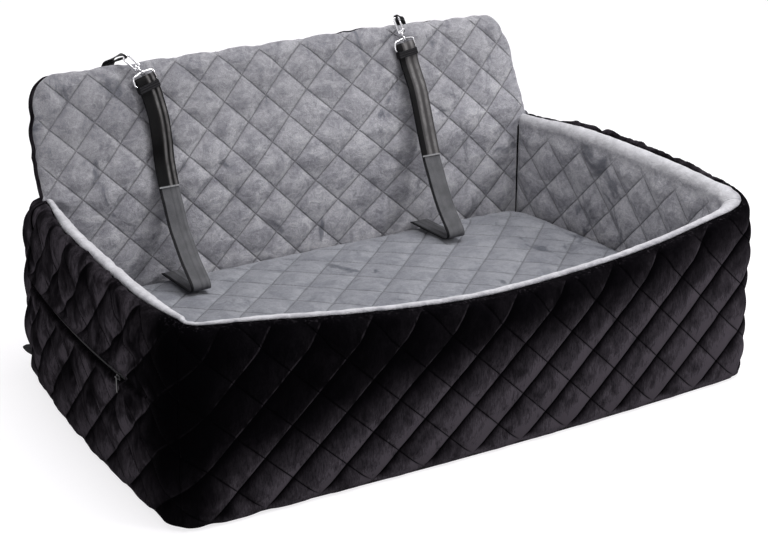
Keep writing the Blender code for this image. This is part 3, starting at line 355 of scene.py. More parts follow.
velourLook = {
    "deep": (0.0009, 0.0008, 0.0011),
    "brushed": (0.0490, 0.0428, 0.0512),
    "sheen": (0.010, 0.30, (0.90, 0.84, 0.94)),  # weight, roughness, tint
    "dark": (0.10, 0.25),  # heights over which painted shade darkens the cloth towards the rim
    "slope": 0.16,  # and how much lower the painted shade begins for each metre to the left
    "atLeft": (-0.45, 0.10, 0.55, 1.0),  # painted shade towards the left: from where to where along x, and the brightness at both
    "atFoot": (0.02, 0.17, 1.55, 1.0),  # the same along z: painted light, brighter at the foot
    "side": (-0.35, -0.20),  # where along y the side walls begin
    "corner": (-0.570, -0.470),  # where along x the painted shade of the front left corner ends
    "zipHeight": 0.205,
    "zipOpens": (-0.225, -0.175),  # where along y the painted shade along the zip begins
    "zipCloses": (0.286, 0.300),  # and where it ends
    "nap": (0.03, 2.05),  # painted light and shade: brightness at the two sides of a pillow
    # strength of the painted highlight along the rising sewn lines
    "paintedGlint": 0.34,
    # depth of the painted shade in the creases
    "creaseAndShade": 0.92,
    "relief": (0.75, 0.0018),  # strength, height
}


def velour(name="velourCloth", quilted=True):
    # black short-pile velour: brushed smudges, short strokes; painted shade darkens it towards the rim, at
    # the front left corner and in the creases, painted light brightens the foot, the sides and each pillow's
    # far flank
    look = velourLook
    made, shader, coords = startMaterial(name, 0.90, specular=0.0, sheen=look["sheen"])
    x, y, z = axes(coords)
    smudge = grain(coords, 11.0, 3.0, 0.55, 1.2)
    brushed = grain(coords, 55.0, 4.0, 0.6, 0.5, (1.0, 1.0, 0.45))
    strokes = grain(coords, 420.0, 3.0, 0.65, 0.3, (1.0, 1.0, 0.22))
    pile = grain(coords, 1100.0, 2.0, 0.6)
    # painted light and shade: the height at which the painted shade takes over, lower to the left and uneven;
    # the cloth is darker towards the rim, brighter to the right and at the foot
    rise = z - x * look["slope"] + (smudge - 0.5) * 0.16
    paintedLight = ramp(rise, *look["dark"], 1.0, 0.06) * ramp(x, *look["atLeft"]) * ramp(z, *look["atFoot"])
    # painted light on the side walls, in fold-shaped patches, and painted shade at the front left corner
    onSide = ramp(y, *look["side"])
    paintedFoldLight = grain(coords, 24.0, 3.0, 0.55, 0.8, (1.0, 1.0, 0.55))
    paintedLight = highest(paintedLight, onSide * ramp(paintedFoldLight, 0.36, 0.64, 0.14, 0.80))
    offCorner = highest(ramp(x, *look["corner"]), onSide)
    paintedLight = paintedLight * ramp(offCorner, 0.0, 1.0, 0.10, 1.0)
    # painted shade along the slit of the side zips
    fromZip = mathNode("ABSOLUTE", z - look["zipHeight"])
    paintedZipShade = ramp(fromZip, 0.007, 0.022, 0.88, 0.0) * ramp(y, *look["zipOpens"])
    paintedLight = paintedLight * (1.0 - paintedZipShade * ramp(y, *look["zipCloses"], 1.0, 0.0))
    tone = ramp(smudge, 0.36, 0.64) * 0.50 + ramp(brushed, 0.34, 0.66) * 0.50
    tone = (tone * 0.75 + 0.25) * paintedLight
    tone = tone * ramp(strokes, 0.30, 0.70, 0.55, 1.35) * ramp(pile, 0.25, 0.75, 0.75, 1.20)
    height = pile * 0.25 + brushed * 0.9 + strokes * 0.45
    if quilted:
        creaseAndShade, thread, flank, factor = sewnLines(made.node_tree)
        tone = tone * paintedPillowShade(flank, factor, *look["nap"])
        # a painted highlight along one side of each rising sewn line, weaker at the front left corner
        paintedGlint = ramp(flank, 0.935, 0.965) * (factor * look["paintedGlint"]) * ramp(offCorner, 0.0, 1.0, 0.15, 1.0)
        tone = tone + paintedGlint * ramp(brushed, 0.40, 0.62)
        wisps = grain(coords, 230.0, 3.0, 0.7, 0.7, (1.0, 1.0, 0.20))
        atRim = ramp(factor, 0.0, 1.0, 1.0, 0.0) * ramp(z, 0.15, 0.22)
        tone = tone + atRim * ramp(wisps, 0.56, 0.72, 0.0, 0.55)
        height = height - creaseAndShade * 1.0 + thread * 0.30
    colour = mixColour(tone, look["deep"], look["brushed"])
    if quilted:
        # painted shade in the sewn creases
        colour = mixColour(creaseAndShade * look["creaseAndShade"], colour, look["deep"])
    dress(shader, colour, height, *look["relief"])
    return made


plushLook = {
    "sheen": (0.22, 0.45, (0.95, 0.95, 1.0)),
    # painted light and shade over each pillow: brightness at its two sides
    "nap": (0.72, 1.22),
    "high": (0.30, 0.52),  # heights over which painted shade comes in, darker higher up
    # painted shade: how much lower it begins for each metre to the left, and its strength along x
    "slope": 0.11,
    "atLeft": (-0.50, -0.15, 1.35, 1.0),
    "smudge": (0.34, 0.36, 0.40),  # share of the deep colour left in the bluish smudges
    "band": (0.80, 1.10),  # share of the pale colour, darkest and palest, for the painted light where the cloth rolls over the rim
    "relief": (0.70, 0.0022),
}


def plush(name, pale, deep, mottle=0.9, creaseShadeDepth=0.85, highShadeStrength=0.0):
    # grey short plush: crushed nap lying different ways, fine fur grain; painted light where it rolls over
    # the rim and on each pillow's far flank, painted shade higher up and in the creases
    look = plushLook
    made, shader, coords = startMaterial(name, 0.92, specular=0.10, sheen=look["sheen"])
    x, z = axes(coords)[::2]
    patch = grain(coords, 15.0, 4.0, 0.60, 1.6)
    nap = grain(coords, 62.0, 3.5, 0.62, 1.0, (1.0, 1.0, 1.5))
    crushed = grain(coords, 150.0, 3.0, 0.60, 1.3)
    fur = grain(coords, 640.0, 3.0, 0.70, 0.2, (1.0, 1.0, 0.6))
    tone = ramp(patch, 0.40, 0.60) * 0.42 + ramp(nap, 0.36, 0.64) * 0.38 + ramp(crushed, 0.36, 0.64) * 0.20
    tone = mathNode("ADD", (tone - 0.5) * mottle, 0.5, clamp=True)
    creaseAndShade, thread, flank, factor = sewnLines(made.node_tree)
    # painted light and shade over each pillow
    colour = mixColour(tone * paintedPillowShade(flank, factor, *look["nap"]), deep, pale)
    colour = mixColour(ramp(fur, 0.34, 0.60, 0.30, 0.0), colour, shaded(0.60, deep))
    # painted shade: darker higher up, most of all at the left
    paintedHighShade = ramp(z - x * look["slope"], *look["high"]) * highShadeStrength * ramp(x, *look["atLeft"])
    colour = mixColour(paintedHighShade, colour, shaded(0.30, deep))
    smudge = grain(coords, 9.0, 4.0, 0.62, 1.4, (1.0, 1.0, 0.8))
    bluish = tuple(share * c for share, c in zip(look["smudge"], deep))
    colour = mixColour(ramp(smudge, 0.585, 0.70, 0.0, 0.75), colour, bluish)
    # painted shade in the sewn creases
    colour = mixColour(creaseAndShade * creaseShadeDepth, colour, shaded(0.30, deep))
    colour = mixColour(thread * 0.40, colour, shaded(0.60, pale))
    # painted light where the cloth rolls over the rim
    paintedRimLight = mixColour(tone, *[shaded(share, pale) for share in look["band"]])
    colour = mixColour(attribute(made.node_tree, "band"), colour, paintedRimLight)
    height = fur * 0.45 + nap * 1.0 + crushed * 0.5 - creaseAndShade * 1.3 + thread * 0.35
    dress(shader, colour, height, *look["relief"])
    return made


weaveLook = {
    "twill": 620.0, "slant": 14.0, "picks": 26.0,
    "cut": (0.24, 0.24, 0.25),  # the frayed end of a tail
    # the half in painted shade
    "black": (0.0016, 0.0015, 0.0018),
    "satinTints": ((1.0, 0.95, 0.98), (1.0, 0.96, 0.97)),  # tints of the painted highlights, between the ribs and on them
    "grey": ((0.030, 0.030, 0.033), (0.100, 0.100, 0.107)),
    # painted shade along the main ply's edge
    "paintedShadeEdge": (0.004, 0.004, 0.005),
}


def weaveOf(across, along):
    # a strap's slanting twill, its whole weave and its raised edge; across is from 0 to 1, along in metres
    twill = nearWhole(along * weaveLook["twill"] + across * weaveLook["slant"])
    picks = nearWhole(across * weaveLook["picks"])
    edge = mathNode("ABSOLUTE", across - 0.5)
    return twill, twill * 0.5 + picks * 0.5, ramp(edge, 0.43, 0.49, 0.0, 0.6)


def webbing(name, dark, light, ribs=4.0):
    # woven strap: lengthwise satin ribs, a fine twill across them, denser edges
    made, shader, coords = startMaterial(name, 0.50, specular=0.10, sheen=(0.03, 0.4, (0.8, 0.8, 0.85)))
    across, along = mapAxes(made.node_tree, "strap")
    rib = nearWhole(across * ribs)
    twill, weave, edge = weaveOf(across, along)
    worn = grain(coords, 45.0, 3.0)
    tone = ramp(rib, 0.05, 0.45) * ramp(worn, 0.3, 0.7, 0.55, 1.0) * ramp(twill, 0.0, 0.5, 0.6, 1.0)
    dress(shader, mixColour(tone, dark, light), ramp(rib, 0.0, 0.5) * 1.2 + weave + edge, 0.6, 0.0005)
    return made


def tetherWebbing(name, tailEnd, satinFrom, low, high):
    # one half painted black as shade where the strap turns from the light, the other with painted highlights
    # along two ribs; past the tail's cut end it is plain grey with painted shade along one edge
    look = weaveLook
    made, shader, coords = startMaterial(name, 0.42, specular=0.06)
    across, along = mapAxes(made.node_tree, "strap")
    twill, weave, edge = weaveOf(across, along)
    paintedLitHalf = ramp(across, satinFrom - 0.04, satinFrom)
    rib = nearWhole((across - satinFrom) * (2.0 / (1.0 - satinFrom)))
    raisedRibsAndHighlights = ramp(rib, 0.08, 0.46) * paintedLitHalf
    sheds = ramp(twill, 0.0, 0.5, 0.6, 1.0)
    streaks = grain(coords, 130.0, 3.0, 0.6, 0.4, (1.0, 1.0, 0.12))
    # painted highlights along the ribs
    paintedRibHighlight = raisedRibsAndHighlights * sheds * ramp(streaks, 0.32, 0.66, 0.45, 1.0)
    tail = mixColour(paintedRibHighlight, *[shaded(share, c) for share, c in zip((low, high), look["satinTints"])])
    tail = mixColour(paintedLitHalf, look["black"], tail)
    tail = mixColour(ramp(along, 0.0022, 0.0034, 1.0, 0.0) * 0.8, tail, look["cut"])
    worn = grain(coords, 45.0, 3.0)
    plain = mixColour(ramp(worn, 0.3, 0.7, 0.6, 1.0) * sheds, *look["grey"])
    plain = mixColour(ramp(across, 0.10, 0.14, 1.0, 0.0), plain, look["paintedShadeEdge"])
    colour = mixColour(ramp(along, tailEnd, tailEnd + 0.0015), tail, plain)
    dress(shader, colour, raisedRibsAndHighlights * 2.2 + weave + edge, 0.6, 0.0006)
    return made


def chrome():
    made, shader, coords = startMaterial("polishedChrome", 0.12, metallic=1.0)
    wear = grain(coords, 180.0, 4.0, 0.6)
    # darker patches of the metal's colour: painted dark reflections
    paintedDarkReflection = grain(coords, 60.0, 2.0)
    colour = mixColour(ramp(paintedDarkReflection, 0.45, 0.8), (0.84, 0.84, 0.86), (0.55, 0.54, 0.55))
    dress(shader, colour, grain(coords, 900.0, 2.0), 0.08, 0.0002, ramp(wear, 0.35, 0.75, 0.05, 0.16))
    return made


def mouldedPlastic():
    made, shader, coords = startMaterial("mouldedPlastic", 0.42)
    scuff = grain(coords, 90.0, 4.0, 0.65)
    colour = mixColour(ramp(scuff, 0.45, 0.8), (0.010, 0.010, 0.011), (0.022, 0.021, 0.022))
    dress(shader, colour, grain(coords, 1400.0, 2.0), 0.25, 0.0002, ramp(scuff, 0.3, 0.8, 0.36, 0.55))
    return made


def zipMetal():
    made, shader, coords = startMaterial("zipEnamel", 0.38, specular=0.30)
    chips = grain(coords, 300.0, 4.0, 0.6)
    colour = mixColour(ramp(chips, 0.60, 0.72), (0.006, 0.006, 0.007), (0.050, 0.040, 0.034))
    dress(shader, colour, chips, 0.2, 0.0002)
    return made


def gripCloth():
    # anti-slip underside: a grid of rubber dots on black cloth
    made, shader, coords = startMaterial("gripCloth", 0.80, specular=0.3)
    grid = axes(scaled(coords, (110.0, 110.0, 110.0)))
    x, y = [nearWhole(axis) - 0.25 for axis in grid[:2]]
    dot = ramp(mathNode("SQRT", x * x + y * y), 0.10, 0.15, 1.0, 0.0)
    colour = mixColour(dot, (0.014, 0.014, 0.015), (0.004, 0.004, 0.004))
    dress(shader, colour, dot + grain(coords, 900.0, 2.0) * 0.3, 0.6, 0.0008)
    return made


# each finish: its material, and the slot of the record that it stands for
finishes = {
    "velour": (velour(), "velour"),
    "plainVelour": (velour("velourPlain", False), "velour"),
    "lining": (plush("liningPlush", (0.44, 0.435, 0.460), (0.185, 0.183, 0.208), 1.0, 0.72, 0.30), "plush"),
    # the seat's plush is a darker copy of the lining's: painted shade
    "pad": (plush("padPlushPaintedShade", (0.245, 0.250, 0.272), (0.125, 0.129, 0.150), 0.8, 0.55), "plush"),
    # tethers: the last two numbers are the painted highlights' darkest and brightest share, between the ribs
    # and on them
    "leftStrap": (tetherWebbing("leftWebbing", 0.213, 0.48, 0.004, 0.150), "webbing"),
    "rightStrap": (tetherWebbing("rightWebbing", 0.233, 0.30, 0.040, 0.170), "webbing"),
    "blackStrap": (webbing("blackWebbing", (0.003, 0.003, 0.004), (0.016, 0.015, 0.017), 3.0), "webbing"),
    "chrome": (chrome(), "steel"),
    "plastic": (mouldedPlastic(), "plastic"),
    "zip": (zipMetal(), "zip_metal"),
    "grip": (gripCloth(), "anti_slip"),
}
print("materials made")


# Pieces: common ways of making them

def finishPiece(name, bm, finish, sharp=None):
    # the finished mesh; edges that turn by more degrees than sharp stay hard
    mesh = bpy.data.meshes.new(name)
    bm.to_mesh(mesh)
    bm.free()
    mesh.shade_smooth()
    if sharp:
        mesh.set_sharp_from_angle(angle=radians(sharp))
    material, slotName = finishes[finish]
    mesh.materials.append(material)
    piece = bpy.data.objects.new(name, mesh)
    bpy.context.scene.collection.objects.link(piece)
    return piece


def settle(piece, body, *nodes):
    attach(piece, body)
    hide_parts(*nodes)


def repaint(finish, *nodes):
    # solids that are shown as they are, in the scene's own material
    for node in nodes:
        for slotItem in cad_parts[node].material_slots:
            slotItem.material = finishes[finish][0]


def clothSheet(name, cols, rows, spot, relief, cells, finish, thick=0.0025):
    # a grid set out by spot(), lifted along its normals by relief(), then given its thickness
    bm = bmesh.new()
    across, up = len(cols) - 1, len(rows) - 1
    bmesh.ops.create_grid(bm, x_segments=across, y_segments=up, size=1.0)
    uv = bm.loops.layers.uv.new("cells")
    sewn = bm.verts.layers.float.new("sewn")
    # band: where the plush gets painted light over the rim
    band = bm.verts.layers.float.new("band")
    keys = {}
    for vert in bm.verts:
        i, j = round((vert.co.x + 1) / 2 * across), round((vert.co.y + 1) / 2 * up)
        keys[vert] = (cols[i], rows[j])
    for vert, (c, r) in keys.items():
        vert.co = spot(c, r)
    bm.normal_update()
    lifts = []
    for vert, (c, r) in keys.items():
        height, mask, *share = relief(c, r, vert.co)
        vert[sewn] = mask
        vert[band] = share[0] if share else 0.0
        lifts.append((vert, vert.normal * height))
    for vert, lift in lifts:
        vert.co += lift
    for face in bm.faces:
        for loop in face.loops:
            loop[uv].uv = cells(*keys[loop.vert])
    piece = finishPiece(name, bm, finish)
    shell = piece.modifiers.new("thickness", "SOLIDIFY")
    shell.thickness = thick
    shell.offset = -1.0
    return piece


def evenly(start, stop, step):
    count = max(1, round((stop - start) / step))
    return [start + (stop - start) * k / count for k in range(count + 1)]


def easeStep(value, low, high):
    t = min(1.0, max(0.0, (value - low) / (high - low)))
    return t * t * (3 - 2 * t)


def hump(value, middle, width):
    # 1 at the middle, fading away on both sides
    return exp(-((value - middle) / width) ** 2)


def wave(x, y, z):
    # a smooth random value from -1 to 1
    return noise.noise(Vector((x, y, z)))


def pillow(u, v, soft=0.55, firm=0.80):
    # height over a cell, 0 on the sewn lines; a lower power fills the cell out closer to its lines
    a, b = u + v, u - v
    fa, fb = abs(2 * (a - round(a))), abs(2 * (b - round(b)))
    return sin(pi / 2 * fa) ** soft * sin(pi / 2 * fb) ** firm


def sewnNear(u, v, width):
    # 1 where a sewn line passes, fading over the width, which is a share of a cell
    a, b = u + v, u - v
    near = min(abs(a - round(a)), abs(b - round(b)))
    return hump(near, 0.0, width)


def softenEdges(bm, edges, offset):
    bmesh.ops.bevel(bm, geom=edges, offset=offset, offset_type="OFFSET", segments=2, profile=0.5,
                    affect="EDGES", material=-1)


# Plan outline of the box, as in the solids

box = {
    "frontHalf": 0.584, "rearHalf": 0.555, "halfD": 0.361, "corner": 0.055, "cornerOut": 0.0055,
    "sideBow": 0.019, "frontBow": 0.016, "rearBow": 0.004, "frontLean": 0.020,
    "rim": 0.356, "rearDrop": 0.012, "rearSeamY": 0.2867,
    "frontDip": 0.063, "dipRight": 0.005, "dipPower": 0.9, "dipPowerRight": 0.45,
    "leftSag": 0.0100, "rightLift": 0.0065, "cornerX": 0.575, "cornerReach": 0.120,
    "puff": 0.006, "puffFoot": 0.0075, "slumpLow": 0.0060, "slumpHigh": 0.0085,
    "crestIn": 0.0185, "cornerCrestIn": 0.0310, "rearCrestIn": 0.044, "crestRise": 0.045, "crestRoll": 0.0080,
    "lipDrop": 0.022, "lipRoll": 0.0036, "wall": 0.050, "foot": 0.0045, "boardTop": 0.028,
    "step": 0.0036,  # between the lines of the sheets' grids
}


def bowedArc(along, bow):
    # radius of an arc that bows out over half its chord, and half its angle
    radius = (along ** 2 + bow ** 2) / (2 * bow)
    return radius, asin(along / radius)


frontX, rearX = box["frontHalf"] - box["corner"], box["rearHalf"] - box["corner"]
coreY = box["halfD"] - box["corner"]
sideTurn = atan((frontX - rearX) / (2 * coreY))
sideR, sideA = bowedArc(coreY / cos(sideTurn), box["sideBow"])
frontR, frontA = bowedArc(frontX, box["frontBow"])
rearR, rearA = bowedArc(rearX, box["rearBow"])
sideCx = (frontX + rearX) / 2 + (box["sideBow"] - sideR) * cos(sideTurn)
sideCy = (box["sideBow"] - sideR) * sin(sideTurn)
sideFrom, sideTo = sideTurn - sideA, sideTurn + sideA
# arcs of the outline: centre, radius, first and last angle; the corners have the odd numbers
arcs = [
    (-sideCx, sideCy, sideR + box["corner"], pi - sideTo, pi - sideFrom),
    (-frontX, -coreY, box["corner"], pi - sideFrom, 1.5 * pi - frontA),
    (0.0, -coreY - box["frontBow"] + frontR, frontR + box["corner"], 1.5 * pi - frontA, 1.5 * pi + frontA),
    (frontX, -coreY, box["corner"], 1.5 * pi + frontA, 2 * pi + sideFrom),
    (sideCx, sideCy, sideR + box["corner"], 2 * pi + sideFrom, 2 * pi + sideTo),
    (rearX, coreY, box["corner"], 2 * pi + sideTo, 2.5 * pi - rearA),
    (0.0, coreY + box["rearBow"] - rearR, rearR + box["corner"], 2.5 * pi - rearA, 2.5 * pi + rearA),
    (-rearX, coreY, box["corner"], 2.5 * pi + rearA, 3 * pi - sideTo),
]
starts = [sum(r * (b - a) for cx, cy, r, a, b in arcs[:i]) for i in range(len(arcs) + 1)]


def middleOf(arc):
    return (starts[arc] + starts[arc + 1]) / 2


def station(s):
    # centre, radius and angle at a length along the outline
    s = s % starts[-1]
    index = max(i for i in range(8) if starts[i] <= s + 1e-9)
    cx, cy, r, first = arcs[index][:4]
    part = (s - starts[index]) / (starts[index + 1] - starts[index])
    out = box["cornerOut"] * sin(pi * part) ** 2 if index % 2 else 0.0
    return cx, cy, r + out, first + (s - starts[index]) / r


def plan(s, inset):
    cx, cy, r, angle = station(s)
    return cx + (r - inset) * cos(angle), cy + (r - inset) * sin(angle)


def acrossFront(x):
    # 1 in the middle of the front and 0 at its corners
    return max(0.0, cos(pi * x / (2 * box["frontHalf"])))


def rimHeight(s):
    x, y = plan(s, 0.0)
    if y > box["rearSeamY"]:
        return box["rim"] - box["rearDrop"] * easeStep(y, 0.296, 0.330)
    sag = box["leftSag"] * hump(x, -box["cornerX"], box["cornerReach"]) * easeStep(-y, -0.02, 0.30)
    lift = box["rightLift"] * hump(x, box["cornerX"], box["cornerReach"]) * easeStep(-y, -0.28, -0.10)
    dip = box["frontDip"] + box["dipRight"] * easeStep(x, -0.25, 0.05)
    power = box["dipPower"] - box["dipPowerRight"] * easeStep(x, -0.10, 0.30)
    return box["rim"] - sag + lift - (dip * acrossFront(x) ** power if y < 0 else 0.0)


def leanOut(s, z):
    x, y = plan(s, 0.0)
    if y > 0:
        return 0.0
    return box["frontLean"] * (z / box["rim"]) ** 2 * acrossFront(x) ** 2


def puffOut(s, z):
    # the wall puffs out, most at its middle, at the foot of the front left corner and low at the left rear
    part = min(1.0, max(0.0, z) / rimHeight(s))
    x, y = plan(s, 0.0)
    foot = box["puffFoot"] * hump(y, -0.36, 0.16) * hump(x, -0.56, 0.18) * (1 - part)
    rearLeft = easeStep(-x, 0.50, 0.57) * easeStep(y, 0.02, 0.20)
    slump = rearLeft * (box["slumpLow"] * hump(z, 0.115, 0.055) - box["slumpHigh"] * easeStep(z, 0.25, 0.37))
    return box["puff"] * (1 - ((part - 0.42) / 0.62) ** 2) + foot + slump


def wallSpot(s, inset, z):
    x, y = plan(s, inset - leanOut(s, z))
    return Vector((x, y, z))


def sideStation(y, inset=0.0):
    radius = sideR + box["corner"]
    return starts[0] + radius * (sideTo - asin((y - sideCy) / (radius - inset)))


def acrossBed(s):
    return 2 * middleOf(2) - s


def bandShare(s):
    # 1 along the walls, and 0 at the corners and the rear ends, where the pale band runs out to a point
    rearLeft = sideStation(box["rearSeamY"])
    ends = (rearLeft, middleOf(1) + 0.012, middleOf(3), acrossBed(rearLeft))
    s = s % starts[-1]
    return easeStep(min(abs(s - e) for e in ends), 0.0, 0.17)


def seamIn(s):
    # how far in from the wall's face the velour meets the lining
    x, y = plan(s, 0.0)
    wall = box["crestIn"] + (0.0085 - 0.0020 * x / box["frontHalf"]) * easeStep(-y, 0.30, 0.36)
    corner = box["cornerCrestIn"] - 0.0180 * hump(s, middleOf(3), 0.10)
    return wall + (corner - wall) * (1 - bandShare(s))


# Outer covers

coverLook = {
    "cellX": 0.099, "cellZ": 0.094, "crossing": (0.0062, 0.0529), "depth": 0.0072,
    "zipZ": 0.205, "zipFront": -0.180, "zipLip": 0.0058, "zipGap": 0.0046,
    "hem": 0.0032, "cornerFold": 0.0032, "footCrumple": 0.0040, "zipGather": 0.0056, "zipFan": 0.0046,
}


def coverHeight(s, r):
    # height above the floor, counted on along the roll of the rim
    top = rimHeight(s) - box["crestRise"]
    if r <= 1:
        return box["foot"] + (top - box["foot"]) * max(0.0, r)
    return top + box["crestRise"] * 1.15 * (r - 1)


def coverCells(s, r):
    look = coverLook
    x0, z0 = look["crossing"]
    return (s - middleOf(2) - x0) / look["cellX"], (coverHeight(s, r) - z0) / look["cellZ"]


def coverSpot(crestIn):
    # r runs from -1 under the foot, through 0 at the foot and 1 at the crest, to 2 at the rim's seam
    def spot(s, r):
        top = rimHeight(s) - box["crestRise"]
        hem = coverLook["hem"] * sewnNear(*coverCells(s, 0.0), 0.16) * (1 - easeStep(r, 0.0, 0.12))
        if r < 0:
            under = -r * pi / 2
            return wallSpot(s, 0.007 * (1 - cos(under)), box["foot"] + hem - 0.003 * sin(under))
        if r <= 1:
            z = box["foot"] + (top - box["foot"]) * r
            return wallSpot(s, -puffOut(s, z), z + hem)
        phi = (r - 1) * pi / 2
        bulge = puffOut(s, top)
        y = plan(s, 0.0)[1]
        onSide = easeStep(y, -0.34, -0.16) * (1 - easeStep(y, 0.24, 0.30))
        roll = box["crestRoll"] * (0.30 + 0.70 * onSide) * bandShare(s) * sin(pi * (r - 1) ** 1.3) ** 1.2
        inset = (crestIn(s) + bulge) * (1 - cos(phi)) - bulge
        return wallSpot(s, inset, top + box["crestRise"] * sin(phi) + roll)
    return spot


def coverRelief(zipped):
    look = coverLook

    def relief(s, r, p):
        z = coverHeight(s, r)
        u, v = coverCells(s, r)
        mask = easeStep(z, 0.002, 0.022) * (1 - easeStep(r, 1.45, 1.85))
        height = look["depth"] * pillow(u, v) * mask
        height += 0.0020 * wave(s * 7, z * 8, 4.0) * mask
        height += 0.0008 * wave(s * 34, z * 21, 9.0)
        # puckers where the cloth is gathered into the rim's seam
        gather = easeStep(r, 1.05, 1.75) * (1 - 0.75 * easeStep(r, 1.85, 2.0))
        height += gather * (0.0026 * wave(s * 42, r * 1.1, 2.0) + 0.0014 * wave(s * 95, r * 2.0, 7.0))
        height -= 0.0030 * easeStep(r, 1.90, 2.0)
        # drag folds round the corners, crumpled at the foot
        x, y = plan(s, 0.0)
        corner = hump(abs(x), 0.570, 0.030) * hump(y, -0.350, 0.045)
        height += corner * look["cornerFold"] * wave(s * 34, z * 9, 12.0)
        crumple = corner * (1 - easeStep(z, 0.03, 0.13)) * look["footCrumple"] * wave(s * 70, z * 12, 13.0)
        height += crumple * easeStep(z, 0.0, 0.012)
        if zipped:
            height, mask = zipRelief(z, y, height, mask)
        return height, mask
    return relief


def zipRelief(z, y, height, mask):
    # cloth rolls over the zip, drag folds fanning from its front end, gathered cloth above it
    look = coverLook
    dy, dz = y - look["zipFront"], z - look["zipZ"]
    away = abs(dz)
    along = easeStep(dy, -0.030, 0.004)
    flat = along * (1 - easeStep(away, 0.007, 0.030))
    mask *= 1 - flat
    height *= 1 - flat
    rolls = hump(away, 0.0135, 0.0070) * look["zipLip"] * (1.5 if dz > 0 else 0.8)
    slit = -look["zipGap"] * (1 - easeStep(away, 0.0042, 0.0088)) - 0.0020 * hump(dz, -0.006, 0.008)
    height += along * (rolls + slit)
    above = easeStep(dz, 0.014, 0.060)
    gathered = look["zipGather"] * wave(y * 27, z * 4.0, 15.0) + 0.0022 * wave(y * 62, z * 9.0, 18.0)
    height += along * above * gathered
    below = easeStep(-dz, 0.014, 0.045)
    height += along * below * (0.0026 * wave(y * 20, z * 11.0, 16.0) + 0.0014 * wave(y * 50, z * 24.0, 17.0))
    reach = sqrt(dy * dy + dz * dz)
    turn = atan2(dz, dy)
    fan = easeStep(reach, 0.006, 0.035) * hump(reach, 0.030, 0.075) * easeStep(-dy, -0.060, 0.010)
    height += fan * look["zipFan"] * sin(turn * 7.5 + 1.4 * wave(reach * 16, turn * 1.2, 19.0))
    return height, mask


def coverRows(zipped):
    # the rows lie closer together along a zip
    flat = evenly(0.0, 1.0, 0.0125)
    if zipped:
        middle = (coverLook["zipZ"] - box["foot"]) / (box["rim"] - box["crestRise"] - box["foot"])
        fine = [middle + k * 0.0045 for k in range(-7, 8)]
        flat = sorted([r for r in flat if abs(r - middle) > 0.036] + fine)
    return [-1.0, -0.5] + flat + [1 + k / 18 for k in range(1, 19)]


def outerCovers():
    leftEnd = sideStation(box["rearSeamY"])
    cornerLeft, cornerRight = middleOf(1), middleOf(3)
    first, last = acrossBed(leftEnd), leftEnd + starts[-1]

    def rearIn(s):
        inner = easeStep(min(s - first, last - s), 0.0, 0.050)
        return box["cornerCrestIn"] + (box["rearCrestIn"] - box["cornerCrestIn"]) * inner

    runs = [
        # name, with a zip, start, end, inset of the rim's seam, nodes
        ("frontCover", False, cornerLeft, cornerRight, seamIn, ("front_cover", "front_wall_foam")),
        ("leftCover", True, leftEnd, cornerLeft, seamIn, ("left_cover", "left_wall_foam")),
        ("rightCover", True, cornerRight, first, seamIn, ("right_cover", "right_wall_foam")),
        ("rearCover", False, first, last, rearIn, ("rear_cover", "rear_wall_foam")),
    ]
    for name, zipped, start, stop, crestIn, nodes in runs:
        cols, rows = evenly(start, stop, box["step"]), coverRows(zipped)
        piece = clothSheet(name, cols, rows, coverSpot(crestIn), coverRelief(zipped), coverCells, "velour")
        settle(piece, "bed", *nodes)
    print("outer covers made")


outerCovers()


# Linings

liningLook = {
    "cell": (0.097, 0.099), "crossing": (0.013, 0.321), "depth": 0.0076, "thick": 0.0030, "rearY": 0.2890,
}
panelLook = {
    "foldY": 0.2905, "foldZ": 0.3590, "recline": 15.0, "half": 0.525, "length": 0.217, "thick": 0.034,
    "corner": 0.042, "rightCorner": 0.056, "rightTall": 0.112, "topDrop": 0.006,
    "foot": 0.006, "taper": 0.014, "leftBelly": 0.0060, "rightTuck": 0.0080, "lowHalf": 0.5070, "soft": 0.016,
    "cell": (0.0880, 0.0905), "crossing": (-0.0165, 0.0735), "depth": 0.0074, "rearDepth": 0.0052,
    "seam": 0.0065, "frontEdge": 0.012, "rearEdge": 0.013, "bulge": 0.0025, "scallop": 0.0030,
}


def panelCells(x, t):
    # the quilting runs on through the fold; its cells widen over the right half
    look = panelLook
    (x0, t0), (wide, tall) = look["crossing"], look["cell"]
    return ((x - x0) / wide - 0.60 * easeStep(x, -0.02, 0.42),
            (t - t0) / tall + 0.15 * easeStep(x, -0.05, 0.40))


def liningZ(s, r):
    top = rimHeight(s) - box["lipDrop"]
    low = box["boardTop"] + 0.001
    return top + (low - top) * max(0.0, r - 1)


def liningCells(arc):
    (x0, z0), (wide, tall) = liningLook["crossing"], liningLook["cell"]

    def cells(s, r):
        z = liningZ(s, r) if r > 1 else liningZ(s, 1) + 0.03 * (1 - r)
        return (s - middleOf(arc) - x0) / wide, (z - z0) / tall
    return cells


def liningSpot(s, r):
    # over the rim in a soft roll, then down the inside of the wall
    top = rimHeight(s) - box["lipDrop"]
    start = seamIn(s) + 0.0005
    reach = box["wall"] - 0.003 - start
    if r <= 1:
        psi = r * pi / 2
        roll = box["lipRoll"] * bandShare(s) * sin(pi * min(1.0, r / 0.86)) ** 0.8
        return wallSpot(s, start + reach * sin(psi) ** 0.85, top + box["lipDrop"] * cos(psi) ** 0.7 + roll)
    return wallSpot(s, start + reach + (box["wall"] - start - reach) * (r - 1), liningZ(s, r))


